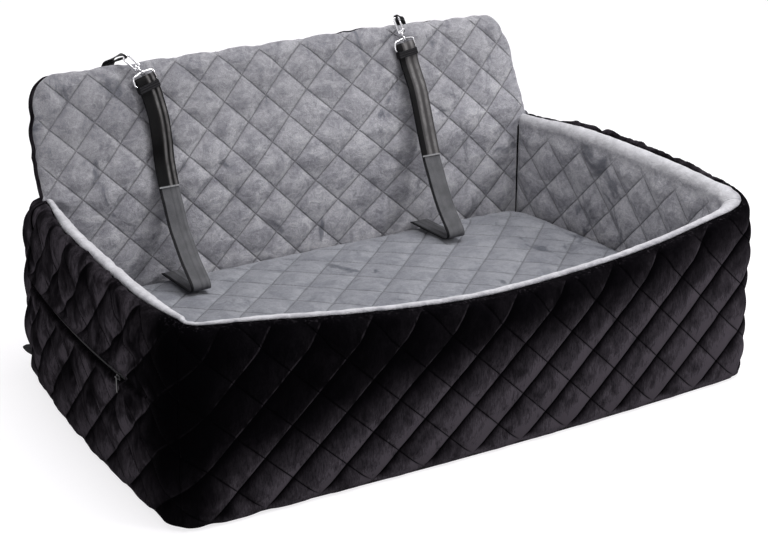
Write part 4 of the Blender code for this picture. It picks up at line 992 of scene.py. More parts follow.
def liningRelief(arc, start, stop):
    cells = liningCells(arc)

    def relief(s, r, p):
        u, v = cells(s, r)
        ends = easeStep(min(s - start, stop - s), 0.0, 0.012)
        mask = easeStep(r, 1.0, 1.12) * (1 - easeStep(r, 1.90, 1.98)) * ends
        height = liningLook["depth"] * pillow(u, v) * mask
        height += 0.0016 * wave(s * 9, p.z * 9, 21.0) * mask + 0.0007 * wave(s * 45, p.z * 40, 25.0)
        band = easeStep(r, 0.0, 0.25) * (1 - easeStep(r, 0.9, 1.1))
        lumps = 0.0018 * wave(s * 38, r * 1.5, 31.0) + 0.0012 * wave(s * 80, r * 2.5, 33.0)
        height += band * (lumps * (0.40 if arc == 2 else 0.75) + 0.0012)
        height -= 0.0022 * (1 - easeStep(r, 0.0, 0.12))
        # where the painted light over the rim applies
        share = easeStep(r, 0.02, 0.20) * (1 - easeStep(r, 0.70, 1.10))
        return height, mask, share
    return relief


def linings():
    rearEnd = sideStation(liningLook["rearY"], box["wall"])
    cornerLeft, cornerRight = middleOf(1), middleOf(3)
    rows = [k / 14 for k in range(15)] + [1 + k / 84 for k in range(1, 85)]
    runs = [
        ("leftLining", 0, rearEnd, cornerLeft, "left_lining"),
        ("frontLining", 2, cornerLeft, cornerRight, "front_lining"),
        ("rightLining", 4, cornerRight, acrossBed(rearEnd), "right_lining"),
    ]
    for name, arc, start, stop, node in runs:
        cols = evenly(start, stop, box["step"])
        piece = clothSheet(name, cols, rows, liningSpot, liningRelief(arc, start, stop), liningCells(arc),
                           "lining", liningLook["thick"])
        settle(piece, "bed", node)
    print("linings made")


linings()


# Backrest panel: two quilted covers sewn together round the edge

foldPlace = Matrix.Translation((0, panelLook["foldY"], panelLook["foldZ"])) @ Matrix.Rotation(
    -radians(panelLook["recline"]), 4, "X")


def turnedLines(edge, firm):
    # distances from the edge of the lines over which a face turns, close together where it is steep
    return [edge * (1 - sin(radians(a)) ** firm) for a in (90, 89, 87, 84, 80, 75, 68, 58, 45, 30, 15)]


def panelX(x, t):
    # narrows the panel's width to its rounded top corners, its taper and the bellies of its two sides
    look = panelLook
    corner, tall = (look["corner"], look["corner"]) if x < 0 else (look["rightCorner"], look["rightTall"])
    nearTop = max(0.0, t - (look["length"] - tall)) / tall
    half = look["half"] - corner + corner * sqrt(max(0.0, 1 - nearTop ** 2))
    half += (look["foot"] - look["taper"] * t / look["length"]) * easeStep(t, -0.030, 0.0)
    if x < 0:
        half += look["leftBelly"] * easeStep(t, 0.02, 0.06) * (1 - easeStep(t, 0.11, 0.19))
    else:
        half -= look["rightTuck"] * easeStep(t, 0.01, 0.07)
    return x * half / look["half"]


def topDrop(x, t):
    look = panelLook
    return look["topDrop"] * easeStep(x, 0.24, 0.50) * easeStep(t, 0.06, look["length"])


def edgeAway(x, t):
    # how far the edge stands out in the panel's plane: drawn in at the sewn lines, out between them
    look = panelLook
    dx, dt = look["half"] - abs(x), look["length"] - t
    u, v = panelCells(panelX(x, t), t)
    way = Vector(((1 if x > 0 else -1) * exp(-dx / 0.018), 0.0, exp(-dt / 0.018)))
    near = min(dx, dt)
    scallop = -look["scallop"] * sewnNear(u, v, 0.15) + 0.0004 + 0.0012 * wave(x * 30, t * 30, 50.0)
    return way.normalized() * scallop * (1 - easeStep(near, 0.0, 0.030))


def ripple(x, t, seed, fineSeed):
    return 0.0018 * wave(x * 8, t * 9, seed) + 0.0008 * wave(x * 46, t * 42, fineSeed)


def linesAcross(near, edge):
    half = panelLook["half"]
    middle = evenly(-half + edge, half - edge, box["step"])
    return [-half + n for n in near] + middle + [half - n for n in reversed(near)]


def linesUp(near, edge, start):
    length = panelLook["length"]
    return evenly(start, length - edge, box["step"]) + [length - n for n in reversed(near)]


def quiltedFront():
    # one quilted sheet, from the foot of the rear wall up over the fold to the panel's top edge
    look = panelLook
    edge, seam = look["frontEdge"], look["seam"]
    tilt = foldPlace.to_3x3()
    up, back = tilt @ Vector((0, 0, 1)), tilt @ Vector((0, 1, 0))
    fold = foldPlace.translation

    def narrowed(x, t):
        return x * (1 - (1 - look["lowHalf"] / look["half"]) * (1 - easeStep(t, -0.030, -0.006)))

    def spot(x, t):
        w = look["soft"]
        rise = t if t > w else (0.0 if t < -w else (t + w) ** 2 / (4 * w))
        d = min(1.0, min(look["half"] - abs(x), look["length"] - t) / edge)
        turned = seam * (1 - sqrt(max(0.0, 1 - (1 - d) ** 2))) * easeStep(t, -0.004, 0.006)
        out = edgeAway(x, t) * easeStep(t, -0.004, 0.016)
        place = fold + Vector((0, 0, 1)) * (t - rise) + up * (rise + out.z - topDrop(x, t)) + back * turned
        place.x = panelX(narrowed(x, t), t) + out.x
        return place

    def relief(x, t, p):
        d = min(look["half"] - abs(x), look["length"] - t)
        side = easeStep(d, 0.004, 0.030) if t > 0 else easeStep(look["half"] - abs(x), 0.010, 0.030)
        foot = easeStep(p.z, 0.030, 0.060)
        mask = side * foot
        height = look["depth"] * pillow(*cells(x, t)) * mask
        edgeWave = easeStep(d, 0.0, 0.006) * (1 - easeStep(d, 0.006, 0.045))
        height += edgeWave * 0.0018 * wave(x * 42, t * 42, 51.0)
        height += ripple(x, t, 53.0, 55.0) * easeStep(d, 0.0, 0.006)
        height -= 0.0010 * hump(t, 0.0, 0.008)
        return height, easeStep(d, 0.001, 0.012) * foot

    def cells(x, t):
        return panelCells(panelX(narrowed(x, t), t), t)

    near = turnedLines(edge, 1.0)
    xs, ts = linesAcross(near, edge), linesUp(near, edge, box["boardTop"] + 0.001 - look["foldZ"])
    piece = clothSheet("quiltedFront", xs, ts, spot, relief, cells, "lining", 0.0028)
    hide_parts("rear_lining", "backrest_front_cover", "backrest_foam")
    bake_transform(piece)


def panelRear():
    # the black cover behind: a boxed edge that bulges, sewn to the front sheet near the front face
    look = panelLook
    edge, firm = look["rearEdge"], 0.55
    deep = look["thick"] - look["seam"]

    def spot(x, t):
        d = min(1.0, min(look["half"] - abs(x), look["length"] - t, t + 0.0005) / edge)
        share = 1 - (1 - (1 - max(0.0, d)) ** (2 / firm)) ** (firm / 2)
        out = edgeAway(x, t)
        plump = look["bulge"] * sin(pi * min(1.0, share)) ** 0.8
        foot = easeStep(t, 0.0, 0.020)
        side = 1 - easeStep(look["half"] - abs(x), 0.0, 0.020)
        upper = 1 - easeStep(look["length"] - t, 0.0, 0.020)
        place = Vector((panelX(x, t) + out.x, look["thick"] - deep * share, t + out.z * foot))
        place.x += (1 if x > 0 else -1) * plump * side
        # where it shows above the front sheet
        peek = 0.0055 * hump(x, 0.165, 0.060) + 0.0040 * hump(x, 0.37, 0.030)
        place.z -= topDrop(x, t) + (0.0030 - peek) * upper * share + plump * (1 - foot) * 0.5
        return foldPlace @ place

    def cells(x, t):
        return panelCells(panelX(x, t), t)

    def relief(x, t, p):
        d = min(look["half"] - abs(x), look["length"] - t, t)
        mask = easeStep(d, 0.006, 0.036)
        height = look["rearDepth"] * pillow(*cells(x, t)) * mask
        height += ripple(x, t, 56.0, 57.0) * easeStep(d, 0.004, 0.012)
        return height, mask

    near = turnedLines(edge, firm)
    xs, ts = linesAcross(near, edge)[::-1], near + linesUp(near, edge, edge)
    piece = clothSheet("backrestRearCover", xs, ts, spot, relief, cells, "velour")
    settle(piece, "backrest", "backrest_rear_cover")


quiltedFront()
panelRear()
print("backrest made")


# Seat cushion

seatLook = {
    "top": 0.158, "crown": 0.012, "halfX": 0.507, "taper": 0.012, "bowX": 0.018,
    "front": -0.302, "rear": 0.279, "frontBow": 0.014, "corner": 0.045, "edge": 0.014, "edgeDrop": 0.0075,
    "depth": 0.0055, "cells": (10, 6), "grid": (220, 131),
    "reach": (0.49, 0.29),  # half width and half depth, by which distances from the edge are counted
    # depth below the top and inset of the rings down the side
    "sides": [(0.004, -0.0035), (0.010, -0.0055), (0.020, -0.0060), (0.034, -0.0040), (0.050, 0.0005),
              (0.064, 0.0030), (0.080, 0.0010), (0.096, -0.0020), (0.110, -0.0030), (0.119, -0.0010),
              (0.1245, 0.0030), (0.1262, 0.0080)],
}


def seatPlan(u, v):
    look = seatLook
    middleY, halfY = (look["front"] + look["rear"]) / 2, (look["rear"] - look["front"]) / 2
    near = max(0.0, halfY * abs(v) - (halfY - look["corner"]))
    halfX = look["halfX"] - look["taper"] * v + look["bowX"] * (1 - v * v)
    halfX -= look["corner"] - sqrt(max(0.0, look["corner"] ** 2 - near ** 2))
    y = middleY + halfY * v
    if v < 0:
        y -= look["frontBow"] * (1 - u * u) * v * v
    return u * halfX, y


def seatCushion():
    look = seatLook
    bm = bmesh.new()
    bmesh.ops.create_grid(bm, x_segments=look["grid"][0], y_segments=look["grid"][1], size=1.0)
    reachX, reachY = look["reach"]
    uv = bm.loops.layers.uv.new("cells")
    sewn = bm.verts.layers.float.new("sewn")
    cellU = bm.verts.layers.float.new("cellU")
    cellV = bm.verts.layers.float.new("cellV")
    for vert in bm.verts:
        u, v = vert.co.x, vert.co.y
        cu, cv = u * look["cells"][0] / 2, (v + 1) * look["cells"][1] / 2
        inside = min(reachX * (1 - abs(u)), reachY * (1 - abs(v)))
        mask = easeStep(inside, 0.006, 0.040)
        x, y = seatPlan(u, v)
        crown = look["crown"] * ((1 - u * u) * (1 - v * v)) ** 0.5
        edge = look["edgeDrop"] * (1 - sqrt(max(0.0, 1 - (1 - min(1.0, inside / look["edge"])) ** 2)))
        height = look["depth"] * pillow(cu, cv, 0.6, 0.7) * mask + 0.0014 * wave(x * 9, y * 9, 61.0)
        height += 0.0006 * wave(x * 45, y * 45, 63.0) + (1 - mask) * 0.0012 * wave(x * 40, y * 40, 64.0)
        vert[sewn], vert[cellU], vert[cellV] = mask, cu, cv
        vert.co = (x, y, look["top"] + crown - edge + height)
    rim = [e for e in bm.edges if e.is_boundary]
    before = 0.0
    for drop, inset in look["sides"]:
        grown = bmesh.ops.extrude_edge_only(bm, edges=rim)["geom"]
        ring = [g for g in grown if isinstance(g, bmesh.types.BMVert)]
        rim = [g for g in grown if isinstance(g, bmesh.types.BMEdge) and g.is_boundary]
        for vert in ring:
            # straight out from the sides, turning quickly at the corners
            flat = Vector((vert.co.x, vert.co.y)) - Vector((0.0, (look["front"] + look["rear"]) / 2))
            squareness = max(abs(flat.x) / look["halfX"], abs(flat.y) / reachY)
            way = Vector((flat.x * (abs(flat.x) / look["halfX"] / squareness) ** 8,
                          flat.y * (abs(flat.y) / reachY / squareness) ** 8)).normalized()
            wrinkle = 0.0010 * wave(vert.co.x * 40, vert.co.y * 40, drop * 30)
            shift = before - inset + wrinkle
            vert.co.x += way.x * shift
            vert.co.y += way.y * shift
            ruffle = 0.0008 * wave(vert.co.x * 30, vert.co.y * 30, 5.0)
            vert.co.z = look["top"] - look["edgeDrop"] - drop + ruffle
            vert[sewn] = 0.0
        before = inset
    bmesh.ops.holes_fill(bm, edges=rim, sides=0)
    bmesh.ops.triangulate(bm, faces=[f for f in bm.faces if len(f.verts) > 4])
    bmesh.ops.recalc_face_normals(bm, faces=bm.faces)
    for face in bm.faces:
        for loop in face.loops:
            loop[uv].uv = (loop.vert[cellU], loop.vert[cellV])
    piece = finishPiece("seatCushionTop", bm, "pad")
    settle(piece, "seat_cushion", "seat_cushion_top_cover", "seat_cushion_foam", "seat_cushion_underside")
    print("seat cushion made")


seatCushion()


# Base: board covered in black cloth, anti-slip sheet below it

baseLook = {
    "sheet": (0.0030, 0.0, 0.0030),  # inset, bottom and top
    "board": (0.0060, 0.0035, 0.0280),
    "points": 160, "rounding": 0.0012,
}


def basePlate(name, part, finish, node):
    inset, low, high = baseLook[part]
    bm = bmesh.new()
    bmesh.ops.create_circle(bm, cap_ends=True, segments=baseLook["points"], radius=1.0)
    bm.verts.ensure_lookup_table()
    for index, vert in enumerate(bm.verts):
        x, y = plan(starts[-1] * index / baseLook["points"], inset)
        vert.co = (x, y, low)
    grown = bmesh.ops.extrude_face_region(bm, geom=bm.faces[:])["geom"]
    lifted = [g for g in grown if isinstance(g, bmesh.types.BMVert)]
    bmesh.ops.translate(bm, vec=(0, 0, high - low), verts=lifted)
    bmesh.ops.recalc_face_normals(bm, faces=bm.faces)
    edges = [e for e in bm.edges if len(e.link_faces) == 2 and e.calc_face_angle() > 1.2]
    softenEdges(bm, edges, min(baseLook["rounding"], (high - low) / 3))
    piece = finishPiece(name, bm, finish, sharp=50)
    settle(piece, "bed", node)


basePlate("baseSheet", "sheet", "grip", "base_sheet")
basePlate("baseBoard", "board", "plainVelour", "base_board")
print("base made")


# Straps

def smoothPath(points, spacing):
    # a Catmull-Rom curve through the points
    result = []
    for i in range(len(points) - 1):
        p0, p1, p2 = points[max(i - 1, 0)], points[i], points[i + 1]
        p3 = points[min(i + 2, len(points) - 1)]
        count = max(2, round((p2 - p1).length / spacing))
        for k in range(count):
            t = k / count
            result.append(0.5 * (2 * p1 + (p2 - p0) * t + (2 * p0 - 5 * p1 + 4 * p2 - p3) * t * t
                                 + (3 * p1 - p0 - 3 * p2 + p3) * t ** 3))
    return result + [points[-1].copy()]


def runAlong(points):
    # length along the points up to each of them
    run = [0.0]
    for p, q in zip(points, points[1:]):
        run.append(run[-1] + (q - p).length)
    return run


def strapPiece(name, centres, acrosses, thickness, finish):
    # a flat woven band along centres; each across vector reaches from the middle to its edge
    bm = bmesh.new()
    last, ways = len(centres) - 1, 8
    bmesh.ops.create_grid(bm, x_segments=ways, y_segments=last, size=1.0)
    uv = bm.loops.layers.uv.new("strap")
    run = runAlong(centres)
    where = {}
    for vert in bm.verts:
        w, i = vert.co.x, round((vert.co.y + 1) / 2 * last)
        where[vert] = ((w + 1) / 2, run[i])
        vert.co = centres[i] + acrosses[i] * w
    for face in bm.faces:
        for loop in face.loops:
            loop[uv].uv = where[loop.vert]
    bm.normal_update()
    for vert in bm.verts:
        vert.co += vert.normal * thickness / 2
    bmesh.ops.solidify(bm, geom=bm.faces[:], thickness=thickness)
    bmesh.ops.recalc_face_normals(bm, faces=bm.faces)
    return finishPiece(name, bm, finish, sharp=50)


# Tethers, folded round each ring's lower bar

ringLook = {
    "half": 0.0235, "height": 0.0215, "wire": 0.0020, "clear": 0.0155, "hookLength": 0.0438, "rail": 0.0058,
    "eyeR": 0.0048, "eyeWire": 0.0016, "eyeZ": -0.0007,
}
sides = {
    "left": {
        "sign": -1, "eyeX": -0.3115, "eyeT": 0.198, "hookLean": 42.0, "ringLean": 16.0, "tail": 0.205,
        "loopShift": -0.016,
    },
    "right": {
        "sign": 1, "eyeX": 0.2500, "eyeT": 0.187, "hookLean": 14.0, "ringLean": 8.0, "tail": 0.225,
        "loopShift": 0.045,
    },
}
tetherLook = {
    "width": 0.040, "thick": 0.0018, "plyGap": 0.0005, "foldRise": 0.0125,
    "keeperDown": 0.0085, "keeperHalves": (0.0216, 0.0060), "keeperCorner": 0.0022,
    "keeperReach": 0.0065, "keeperThick": 0.0012,
    # the way down to the cushion, y and z
    "left": [(0.3010, 0.4700), (0.2900, 0.4300), (0.2830, 0.3870), (0.2590, 0.3250), (0.2370, 0.2800),
             (0.2130, 0.2510), (0.1900, 0.2260), (0.1640, 0.2050), (0.1500, 0.1930), (0.1480, 0.1830),
             (0.1590, 0.1775), (0.1850, 0.1765), (0.2300, 0.1750), (0.2770, 0.1740)],
    "right": [(0.3000, 0.4750), (0.2820, 0.4480), (0.2630, 0.4020), (0.2480, 0.3640), (0.2280, 0.3180),
              (0.2040, 0.2720), (0.1780, 0.2340), (0.1540, 0.2080), (0.1410, 0.1940), (0.1400, 0.1840),
              (0.1510, 0.1780), (0.1780, 0.1768), (0.2280, 0.1750), (0.2770, 0.1740)],
}


def panelSpot(x, n, t):
    # a point in the panel's frame, n counted forwards from its front
    return Vector((x, -n, t))


def barCentre(side):
    # the middle of a ring's lower bar, then the ways down, across and outward there
    spec = sides[side]
    turn = radians(spec["ringLean"])
    down = Vector((sin(turn), 0, -cos(turn)))
    local = panelSpot(spec["eyeX"], ringLook["clear"], spec["eyeT"]) + down * ringLook["height"]
    across = Vector((cos(turn), 0, sin(turn)))
    spin = foldPlace.to_3x3()
    return foldPlace @ local, spin @ down, spin @ across, spin @ Vector((0, -1, 0))


def tether(side):
    look = tetherLook
    bar, down, across, outward = barCentre(side)
    bend = ringLook["wire"] + 0.0004 + look["thick"] / 2
    hangX = bar.x + down.x * 0.045
    route = [bar + outward * bend, bar + outward * bend * 0.85 + down * 0.014]
    route.append(bar + outward * 0.0012 + down * 0.028)
    route += [Vector((hangX, y, z)) for y, z in look[side]]
    front = smoothPath(route, 0.007)
    widths, normals = [], []
    for i in range(len(front)):
        tangent = (front[min(i + 1, len(front) - 1)] - front[max(i - 1, 0)]).normalized()
        w = (Vector((1, 0, 0)) - tangent * tangent.x).normalized()
        widths.append(w)
        normals.append(w.cross(tangent).normalized())
    if normals[3].dot(outward) < 0:
        normals = [-n for n in normals]
    # the strap's tail lies on its front as far down as it reaches
    tail, tailW, main = [], [], []
    tailLength = sides[side]["tail"]
    for p, w, normal, length in zip(front, widths, normals, runAlong(front)):
        rest = (look["thick"] + look["plyGap"]) * (1 - easeStep(length, tailLength, tailLength + 0.03))
        spread = rest + (2 * bend - rest) * (1 - easeStep(length, 0.0, 0.026))
        main.append(p - normal * spread)
        if length <= tailLength:
            tail.append(p)
            tailW.append(w)
    angles = [pi * k / 12 for k in range(1, 12)]
    turns = [bar + outward * bend * cos(a) - down * look["foldRise"] * sin(a) for a in angles]
    centres = tail[::-1] + turns + main
    wides = tailW[::-1] + [across] * len(turns) + widths
    half = look["width"] / 2
    piece = strapPiece(side + "Tether", centres, [w * half for w in wides], look["thick"], side + "Strap")
    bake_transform(piece)
    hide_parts(side + "_tether")
    total = runAlong(centres)[-1]


def keeper(side):
    # a wrap of webbing, sewn shut, that closes the fold under the ring
    look = tetherLook
    bar, down, across, outward = barCentre(side)
    centre = bar + down * look["keeperDown"]
    points = []
    (halfX, halfY), corner = look["keeperHalves"], look["keeperCorner"]
    for cx, cy, first in ((halfX, halfY, 0), (-halfX, halfY, 1), (-halfX, -halfY, 2), (halfX, -halfY, 3)):
        for k in range(5):
            a = (first + k / 4) * pi / 2
            x, y = cx - corner * (1 if cx > 0 else -1), cy - corner * (1 if cy > 0 else -1)
            points.append(centre + across * (x + corner * cos(a)) + outward * (y + corner * sin(a)))
    points.append(points[0].copy())
    acrosses = [down * look["keeperReach"]] * len(points)
    piece = strapPiece(side + "TetherKeeper", points, acrosses, look["keeperThick"], "blackStrap")
    settle(piece, "backrest", side + "_tether_keeper")


for side in sides:
    tether(side)
    keeper(side)
print("tethers made")


# Rings, swivel eyes, snap hooks and gates

def rod(name, points, radius, closed=False, steps=3, taper=None):
    # round wire along the points, through a bevelled curve turned into a mesh
    path = bpy.data.curves.new(name, "CURVE")
    path.dimensions = "3D"
    path.bevel_depth = radius
    path.bevel_resolution = steps
    path.use_fill_caps = True
    line = path.splines.new("POLY")
    line.points.add(len(points) - 1)
    for i, (spot, p) in enumerate(zip(line.points, points)):
        spot.co = (*p, 1.0)
        spot.radius = taper[i] if taper else 1.0
    line.use_cyclic_u = closed
    holder = bpy.data.objects.new(name, path)
    bpy.context.scene.collection.objects.link(holder)
    bpy.context.view_layer.update()
    mesh = bpy.data.meshes.new_from_object(holder.evaluated_get(bpy.context.evaluated_depsgraph_get()))
    bpy.data.objects.remove(holder, do_unlink=True)
    bpy.data.curves.remove(path)
    bm = bmesh.new()
    bm.from_mesh(mesh)
    bpy.data.meshes.remove(mesh)
    bmesh.ops.remove_doubles(bm, verts=bm.verts, dist=1e-6)
    bmesh.ops.recalc_face_normals(bm, faces=bm.faces)
    return bm


def joined(parts):
    whole = bmesh.new()
    for part in parts:
        mesh = bpy.data.meshes.new("part")
        part.to_mesh(mesh)
        part.free()
        whole.from_mesh(mesh)
        bpy.data.meshes.remove(mesh)
    return whole


def turnedPart(profile, segments=28):
    # a turned part: radius and height pairs spun about z, closed on the axis or back onto itself
    bm = bmesh.new()
    verts = [bm.verts.new((r, 0, z)) for r, z in profile]
    edges = [bm.edges.new(pair) for pair in zip(verts, verts[1:])]
    bmesh.ops.spin(bm, geom=verts + edges, axis=(0, 0, 1), cent=(0, 0, 0), angle=2 * pi, steps=segments,
                   use_merge=True)
    bmesh.ops.remove_doubles(bm, verts=bm.verts, dist=1e-6)
    bmesh.ops.recalc_face_normals(bm, faces=bm.faces)
    return bm


def fillet(points, radius, segments=5):
    # a closed outline with rounded corners
    result = []
    n = len(points)
    for i, p in enumerate(points):
        a, b = (points[i - 1] - p), (points[(i + 1) % n] - p)
        reach = min(radius, a.length / 2.2, b.length / 2.2)
        start, end = p + a.normalized() * reach, p + b.normalized() * reach
        for k in range(segments + 1):
            t = k / segments
            result.append(start * (1 - t) ** 2 + p * 2 * t * (1 - t) + end * t * t)
    return result


def leaningFrame(side, lean):
    # a frame at the swivel eye that leans to the left in the panel's plane
    spec = sides[side]
    place = Matrix.Translation(panelSpot(spec["eyeX"], ringLook["clear"], spec["eyeT"]))
    return foldPlace @ place @ Matrix.Rotation(-radians(spec[lean]), 4, "Y")


def chromePiece(name, bm, place, body, node, sharp=50):
    bmesh.ops.transform(bm, matrix=place, verts=bm.verts)
    settle(finishPiece(name, bm, "chrome", sharp=sharp), body, node)


def roundedBlock(low, high):
    block = bmesh.new()
    bmesh.ops.create_cube(block, size=1.0)
    bmesh.ops.scale(block, vec=Vector(high) - Vector(low), verts=block.verts)
    bmesh.ops.translate(block, vec=(Vector(low) + Vector(high)) / 2, verts=block.verts)
    softenEdges(block, block.edges[:], 0.0005)
    return block


# radius and height pairs of the turned parts
profiles = {
    "eyePin": [(0, 0.0047), (0.0016, 0.0047), (0.0016, 0.0150), (0.0028, 0.0152), (0.0028, 0.0160),
               (0.0022, 0.0167), (0, 0.0168)],
    "barrel": [(0.0019, 0.0082), (0.0036, 0.0082), (0.0042, 0.0088), (0.0042, 0.0098), (0.0037, 0.0103),
               (0.0037, 0.0112), (0.0042, 0.0117), (0.0042, 0.0134), (0.0036, 0.0140), (0.0019, 0.0140),
               (0.0019, 0.0082)],
    "boss": [(0, -0.0019), (0.0019, -0.0019), (0.0022, -0.0016), (0.0022, 0.0016), (0.0019, 0.0019),
             (0, 0.0019)],
    "thumb": [(0, 0.0), (0.0018, 0.0), (0.0021, 0.0005), (0.0016, 0.0016), (0, 0.0018)],
    "gatePin": [(0, -0.0041), (0.0011, -0.0041), (0.0013, -0.0038), (0.0007, -0.0036), (0.0007, 0.0036),
                (0.0013, 0.0038), (0.0011, 0.0041), (0, 0.0041)],
}


def upAlong(x, heights):
    return [Vector((x, 0, z)) for z in heights]


def hardware(side):
    look = ringLook
    rail, nose = look["rail"], look["hookLength"] - look["rail"]
    half, tall = look["half"], look["height"]
    corners = [(0, 0), (-half + 0.002, -0.0035), (-half, -tall), (half, -tall), (half - 0.002, -0.0035)]
    outline = fillet([Vector((x, 0, z)) for x, z in corners], 0.0045)
    ring = rod("ring", outline, look["wire"], closed=True, steps=4)
    chromePiece(side + "Ring", ring, leaningFrame(side, "ringLean"), "backrest", side + "_ring", sharp=None)

    place = leaningFrame(side, "hookLean")
    angles = [2 * pi * k / 28 for k in range(28)]
    circle = [Vector((0, look["eyeR"] * cos(a), look["eyeZ"] + look["eyeR"] * sin(a))) for a in angles]
    eye = rod("eye", circle, look["eyeWire"], closed=True)
    swivelEye = joined([eye, turnedPart(profiles["eyePin"])])
    chromePiece(side + "SwivelEye", swivelEye, place, "backrest", side + "_swivel_eye")

    shank = [Vector((-0.0034, 0, 0.0122)), Vector((-0.0050, 0, 0.0136))]
    shank += upAlong(-rail, (0.0165, 0.0230, 0.0300, nose))
    angles = [pi * k / 16 for k in range(1, 17)]
    bow = [Vector((-rail * cos(a), 0, nose + rail * sin(a))) for a in angles]
    tip = upAlong(rail, (nose - 0.0012, nose - 0.0022))
    thick = [1.15, 1.15, 1.1] + [1.0] * (len(shank) + len(bow) - 3) + [0.95, 0.80]
    # the barrel, the rail and the cheeks that hold the gate
    parts = [turnedPart(profiles["barrel"]), rod("rail", shank + bow + tip, 0.0019, steps=4, taper=thick)]
    for low, high in (((-rail - 0.0016, -0.0017, 0.0112), (rail - 0.0008, 0.0017, 0.0140)),
                      ((rail - 0.0026, -0.0037, 0.0112), (rail + 0.0020, -0.0023, 0.0182)),
                      ((rail - 0.0026, 0.0023, 0.0112), (rail + 0.0020, 0.0037, 0.0182)),
                      ((rail - 0.0026, -0.0037, 0.0112), (rail - 0.0006, 0.0037, 0.0134))):
        parts.append(roundedBlock(low, high))
    chromePiece(side + "Hook", joined(parts), place, side + "_hook", side + "_hook")

    pivot, top = Vector((rail, 0, 0.0160)), nose - 0.0026
    atPivot = Matrix.Translation(pivot) @ Matrix.Rotation(pi / 2, 4, "X")
    length = [pivot + Vector((0, 0, 0.0004))] + upAlong(rail, (0.0200, 0.0260, top - 0.0010, top))
    gateRod = rod("gate", length, 0.0016, steps=4, taper=[1.0, 1.05, 1.0, 1.0, 0.8])
    boss, thumb = turnedPart(profiles["boss"]), turnedPart(profiles["thumb"], 20)
    bmesh.ops.transform(boss, matrix=atPivot, verts=boss.verts)
    atThumb = Matrix.Translation((rail + 0.0010, 0, 0.0262)) @ Matrix.Rotation(pi / 2, 4, "Y")
    bmesh.ops.transform(thumb, matrix=atThumb, verts=thumb.verts)
    chromePiece(side + "Gate", joined([gateRod, boss, thumb]), place, side + "_gate", side + "_gate")
    gatePin = turnedPart(profiles["gatePin"], 16)
    chromePiece(side + "GatePin", gatePin, place @ atPivot, side + "_hook", side + "_gate_pin")


# Headrest loop, strap, buckle and adjuster behind the panel

strapLook = {
    "half": 0.0125, "thick": 0.0016, "y": 0.0442, "out": 0.075,
    "loopHalf": 0.012, "throat": 0.0018, "bend": 0.0037,
}


def headrestLoop(side):
    look, spec = strapLook, sides[side]
    turn = radians(spec["hookLean"])
    crownX = spec["eyeX"] - sin(turn) * ringLook["hookLength"]
    crownT = spec["eyeT"] + cos(turn) * ringLook["hookLength"]
    across = Vector((cos(turn), 0, sin(turn)))
    up = Vector((-sin(turn), 0, cos(turn)))
    crown = panelSpot(crownX, ringLook["clear"], crownT)
    bend, wide = look["bend"], Vector((1, 0, 0))
    rearX, out = crownX + spec["loopShift"], look["y"] - 0.0006

    def spot(f, y, t):
        return Vector((crownX * (1 - f) + rearX * f, y, t))

    # how far each point has turned from the hook's way to the strap's, y and t
    upper = [(1.0, out + 0.0022, 0.176), (1.0, out + 0.0022, 0.205), (0.8, 0.0330, 0.2250),
             (0.5, 0.0180, crownT - 0.0005), (0.2, 0.0000, crownT + bend)]
    lower = [(0.2, -0.0020, crownT - bend - 0.0002), (0.5, 0.0160, crownT - 0.0060),
             (0.8, 0.0310, 0.2205), (1.0, out, 0.203), (1.0, out, 0.176)]
    centres, widths = [], []

    def add(point, f):
        way = (across * (1 - f) + wide * f).normalized()
        centres.append(point)
        widths.append(way * (look["throat"] + (look["loopHalf"] - look["throat"]) * min(1.0, f * 1.15)))

    for f, y, t in upper:
        add(spot(f, y, t), f)
    for k in range(7):
        a = pi / 2 - pi * k / 6
        add(crown + up * bend * sin(a) + Vector((0, -1, 0)) * bend * cos(a), 0.0)
    for f, y, t in lower:
        add(spot(f, y, t), f)
    fine = smoothPath(centres, 0.004)
    spans, run = runAlong(centres), runAlong(fine)
    wides = []
    for r in run:
        d = min(r * spans[-1] / run[-1], spans[-1] - 1e-9)
        i = max(k for k in range(len(spans) - 1) if spans[k] <= d)
        f = (d - spans[i]) / (spans[i + 1] - spans[i])
        wides.append(foldPlace.to_3x3() @ (widths[i] * (1 - f) + widths[i + 1] * f))
    placed = [foldPlace @ p for p in fine]
    piece = strapPiece(side + "HeadrestLoop", placed, wides, look["thick"], "blackStrap")
    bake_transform(piece)
    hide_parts(side + "_headrest_loop")


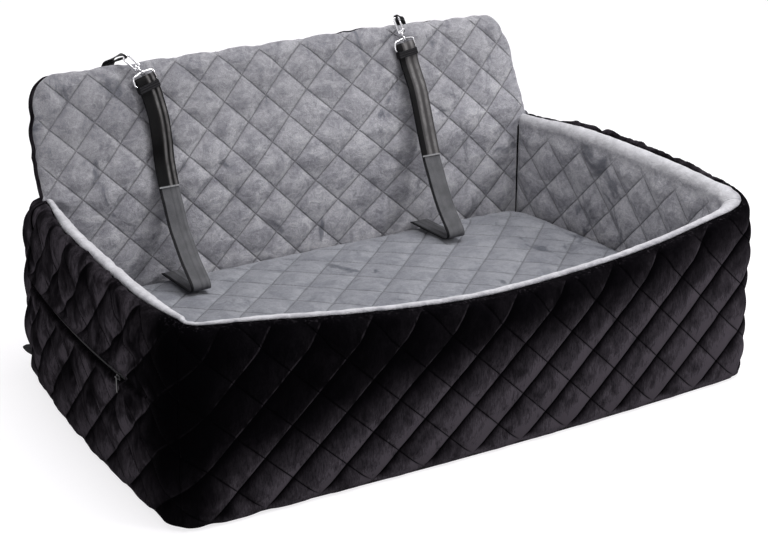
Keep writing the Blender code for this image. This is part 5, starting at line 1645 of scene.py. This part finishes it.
def headrestStrap(side):
    look, spec = strapLook, sides[side]
    x, y = spec["eyeX"] + spec["sign"] * look["out"], look["y"]
    sewn = y - 0.0025
    spin = foldPlace.to_3x3()
    bands = [
        ("HeadrestStrap", "_headrest_strap",
         [(sewn, 0.2000), (sewn, 0.1880), (y, 0.1760), (y, 0.1560), (y, 0.1365)]),
        ("BuckleTail", "_buckle_tail",
         [(y, 0.0890), (y, 0.0600), (y, 0.0340), (sewn, 0.0220), (sewn, 0.0120)]),
    ]
    for name, node, route in bands:
        centres = [foldPlace @ p for p in smoothPath([Vector((x, py, pz)) for py, pz in route], 0.006)]
        acrosses = [spin @ Vector((look["half"], 0, 0))] * len(centres)
        piece = strapPiece(side + name, centres, acrosses, look["thick"], "blackStrap")
        settle(piece, "backrest", side + node)
    repaint("plastic", side + "_slide_adjuster", side + "_buckle_socket", side + "_buckle_plug")


for side in sides:
    hardware(side)
    headrestLoop(side)
    headrestStrap(side)
print("hooks, rings and headrest straps made")


# Side zips

zipLook = {"half": 0.0065, "thick": 0.0010, "rear": 0.288, "sunk": 0.0042}


def sideZip(side):
    sign = sides[side]["sign"]
    outer = sideR + box["corner"]
    reach = outer + (box["puff"] - zipLook["sunk"])
    ys = evenly(coverLook["zipFront"] - 0.006, zipLook["rear"], 0.006)
    centres = []
    for y in (ys if sign > 0 else ys[::-1]):
        angle = asin((y - sideCy) / outer)
        x = sign * (sideCx + reach * cos(angle))
        centres.append(Vector((x, sideCy + reach * sin(angle), coverLook["zipZ"])))
    acrosses = [Vector((0, 0, zipLook["half"]))] * len(centres)
    piece = strapPiece(side + "ZipTape", centres, acrosses, zipLook["thick"], "blackStrap")
    settle(piece, "bed", side + "_zip_tape")
    repaint("zip", side + "_zip_slider", side + "_zip_pull")


for side in sides:
    sideZip(side)


# Webbing tabs at the foot of the rear corners

tabLook = {
    "height": 0.026, "thick": 0.0034,
    # how far each row stands out, and its half height
    "rows": [(-0.004, 0.0110), (0.010, 0.0110), (0.020, 0.0106), (0.028, 0.0100), (0.035, 0.0086),
             (0.041, 0.0066), (0.045, 0.0040), (0.048, 0.0016)],
}


def rearTab(side, arc, turn):
    look = tabLook
    cx, cy, r, angle = station(middleOf(arc))
    angle += turn
    out = Vector((cos(angle), sin(angle), 0))
    base = Vector((cx, cy, look["height"])) + out * (r + box["puff"] + 0.0012)
    centres = [base + out * away for away, half in look["rows"]]
    acrosses = [Vector((0, 0, half)) for away, half in look["rows"]]
    piece = strapPiece(side + "RearTab", centres, acrosses, look["thick"], "blackStrap")
    settle(piece, "bed", side + "_rear_tab")


rearTab("left", 7, -0.30)
rearTab("right", 5, 0.30)
print("zips and tabs made")


def writeSizes():
    bpy.context.view_layer.update()


writeSizes()
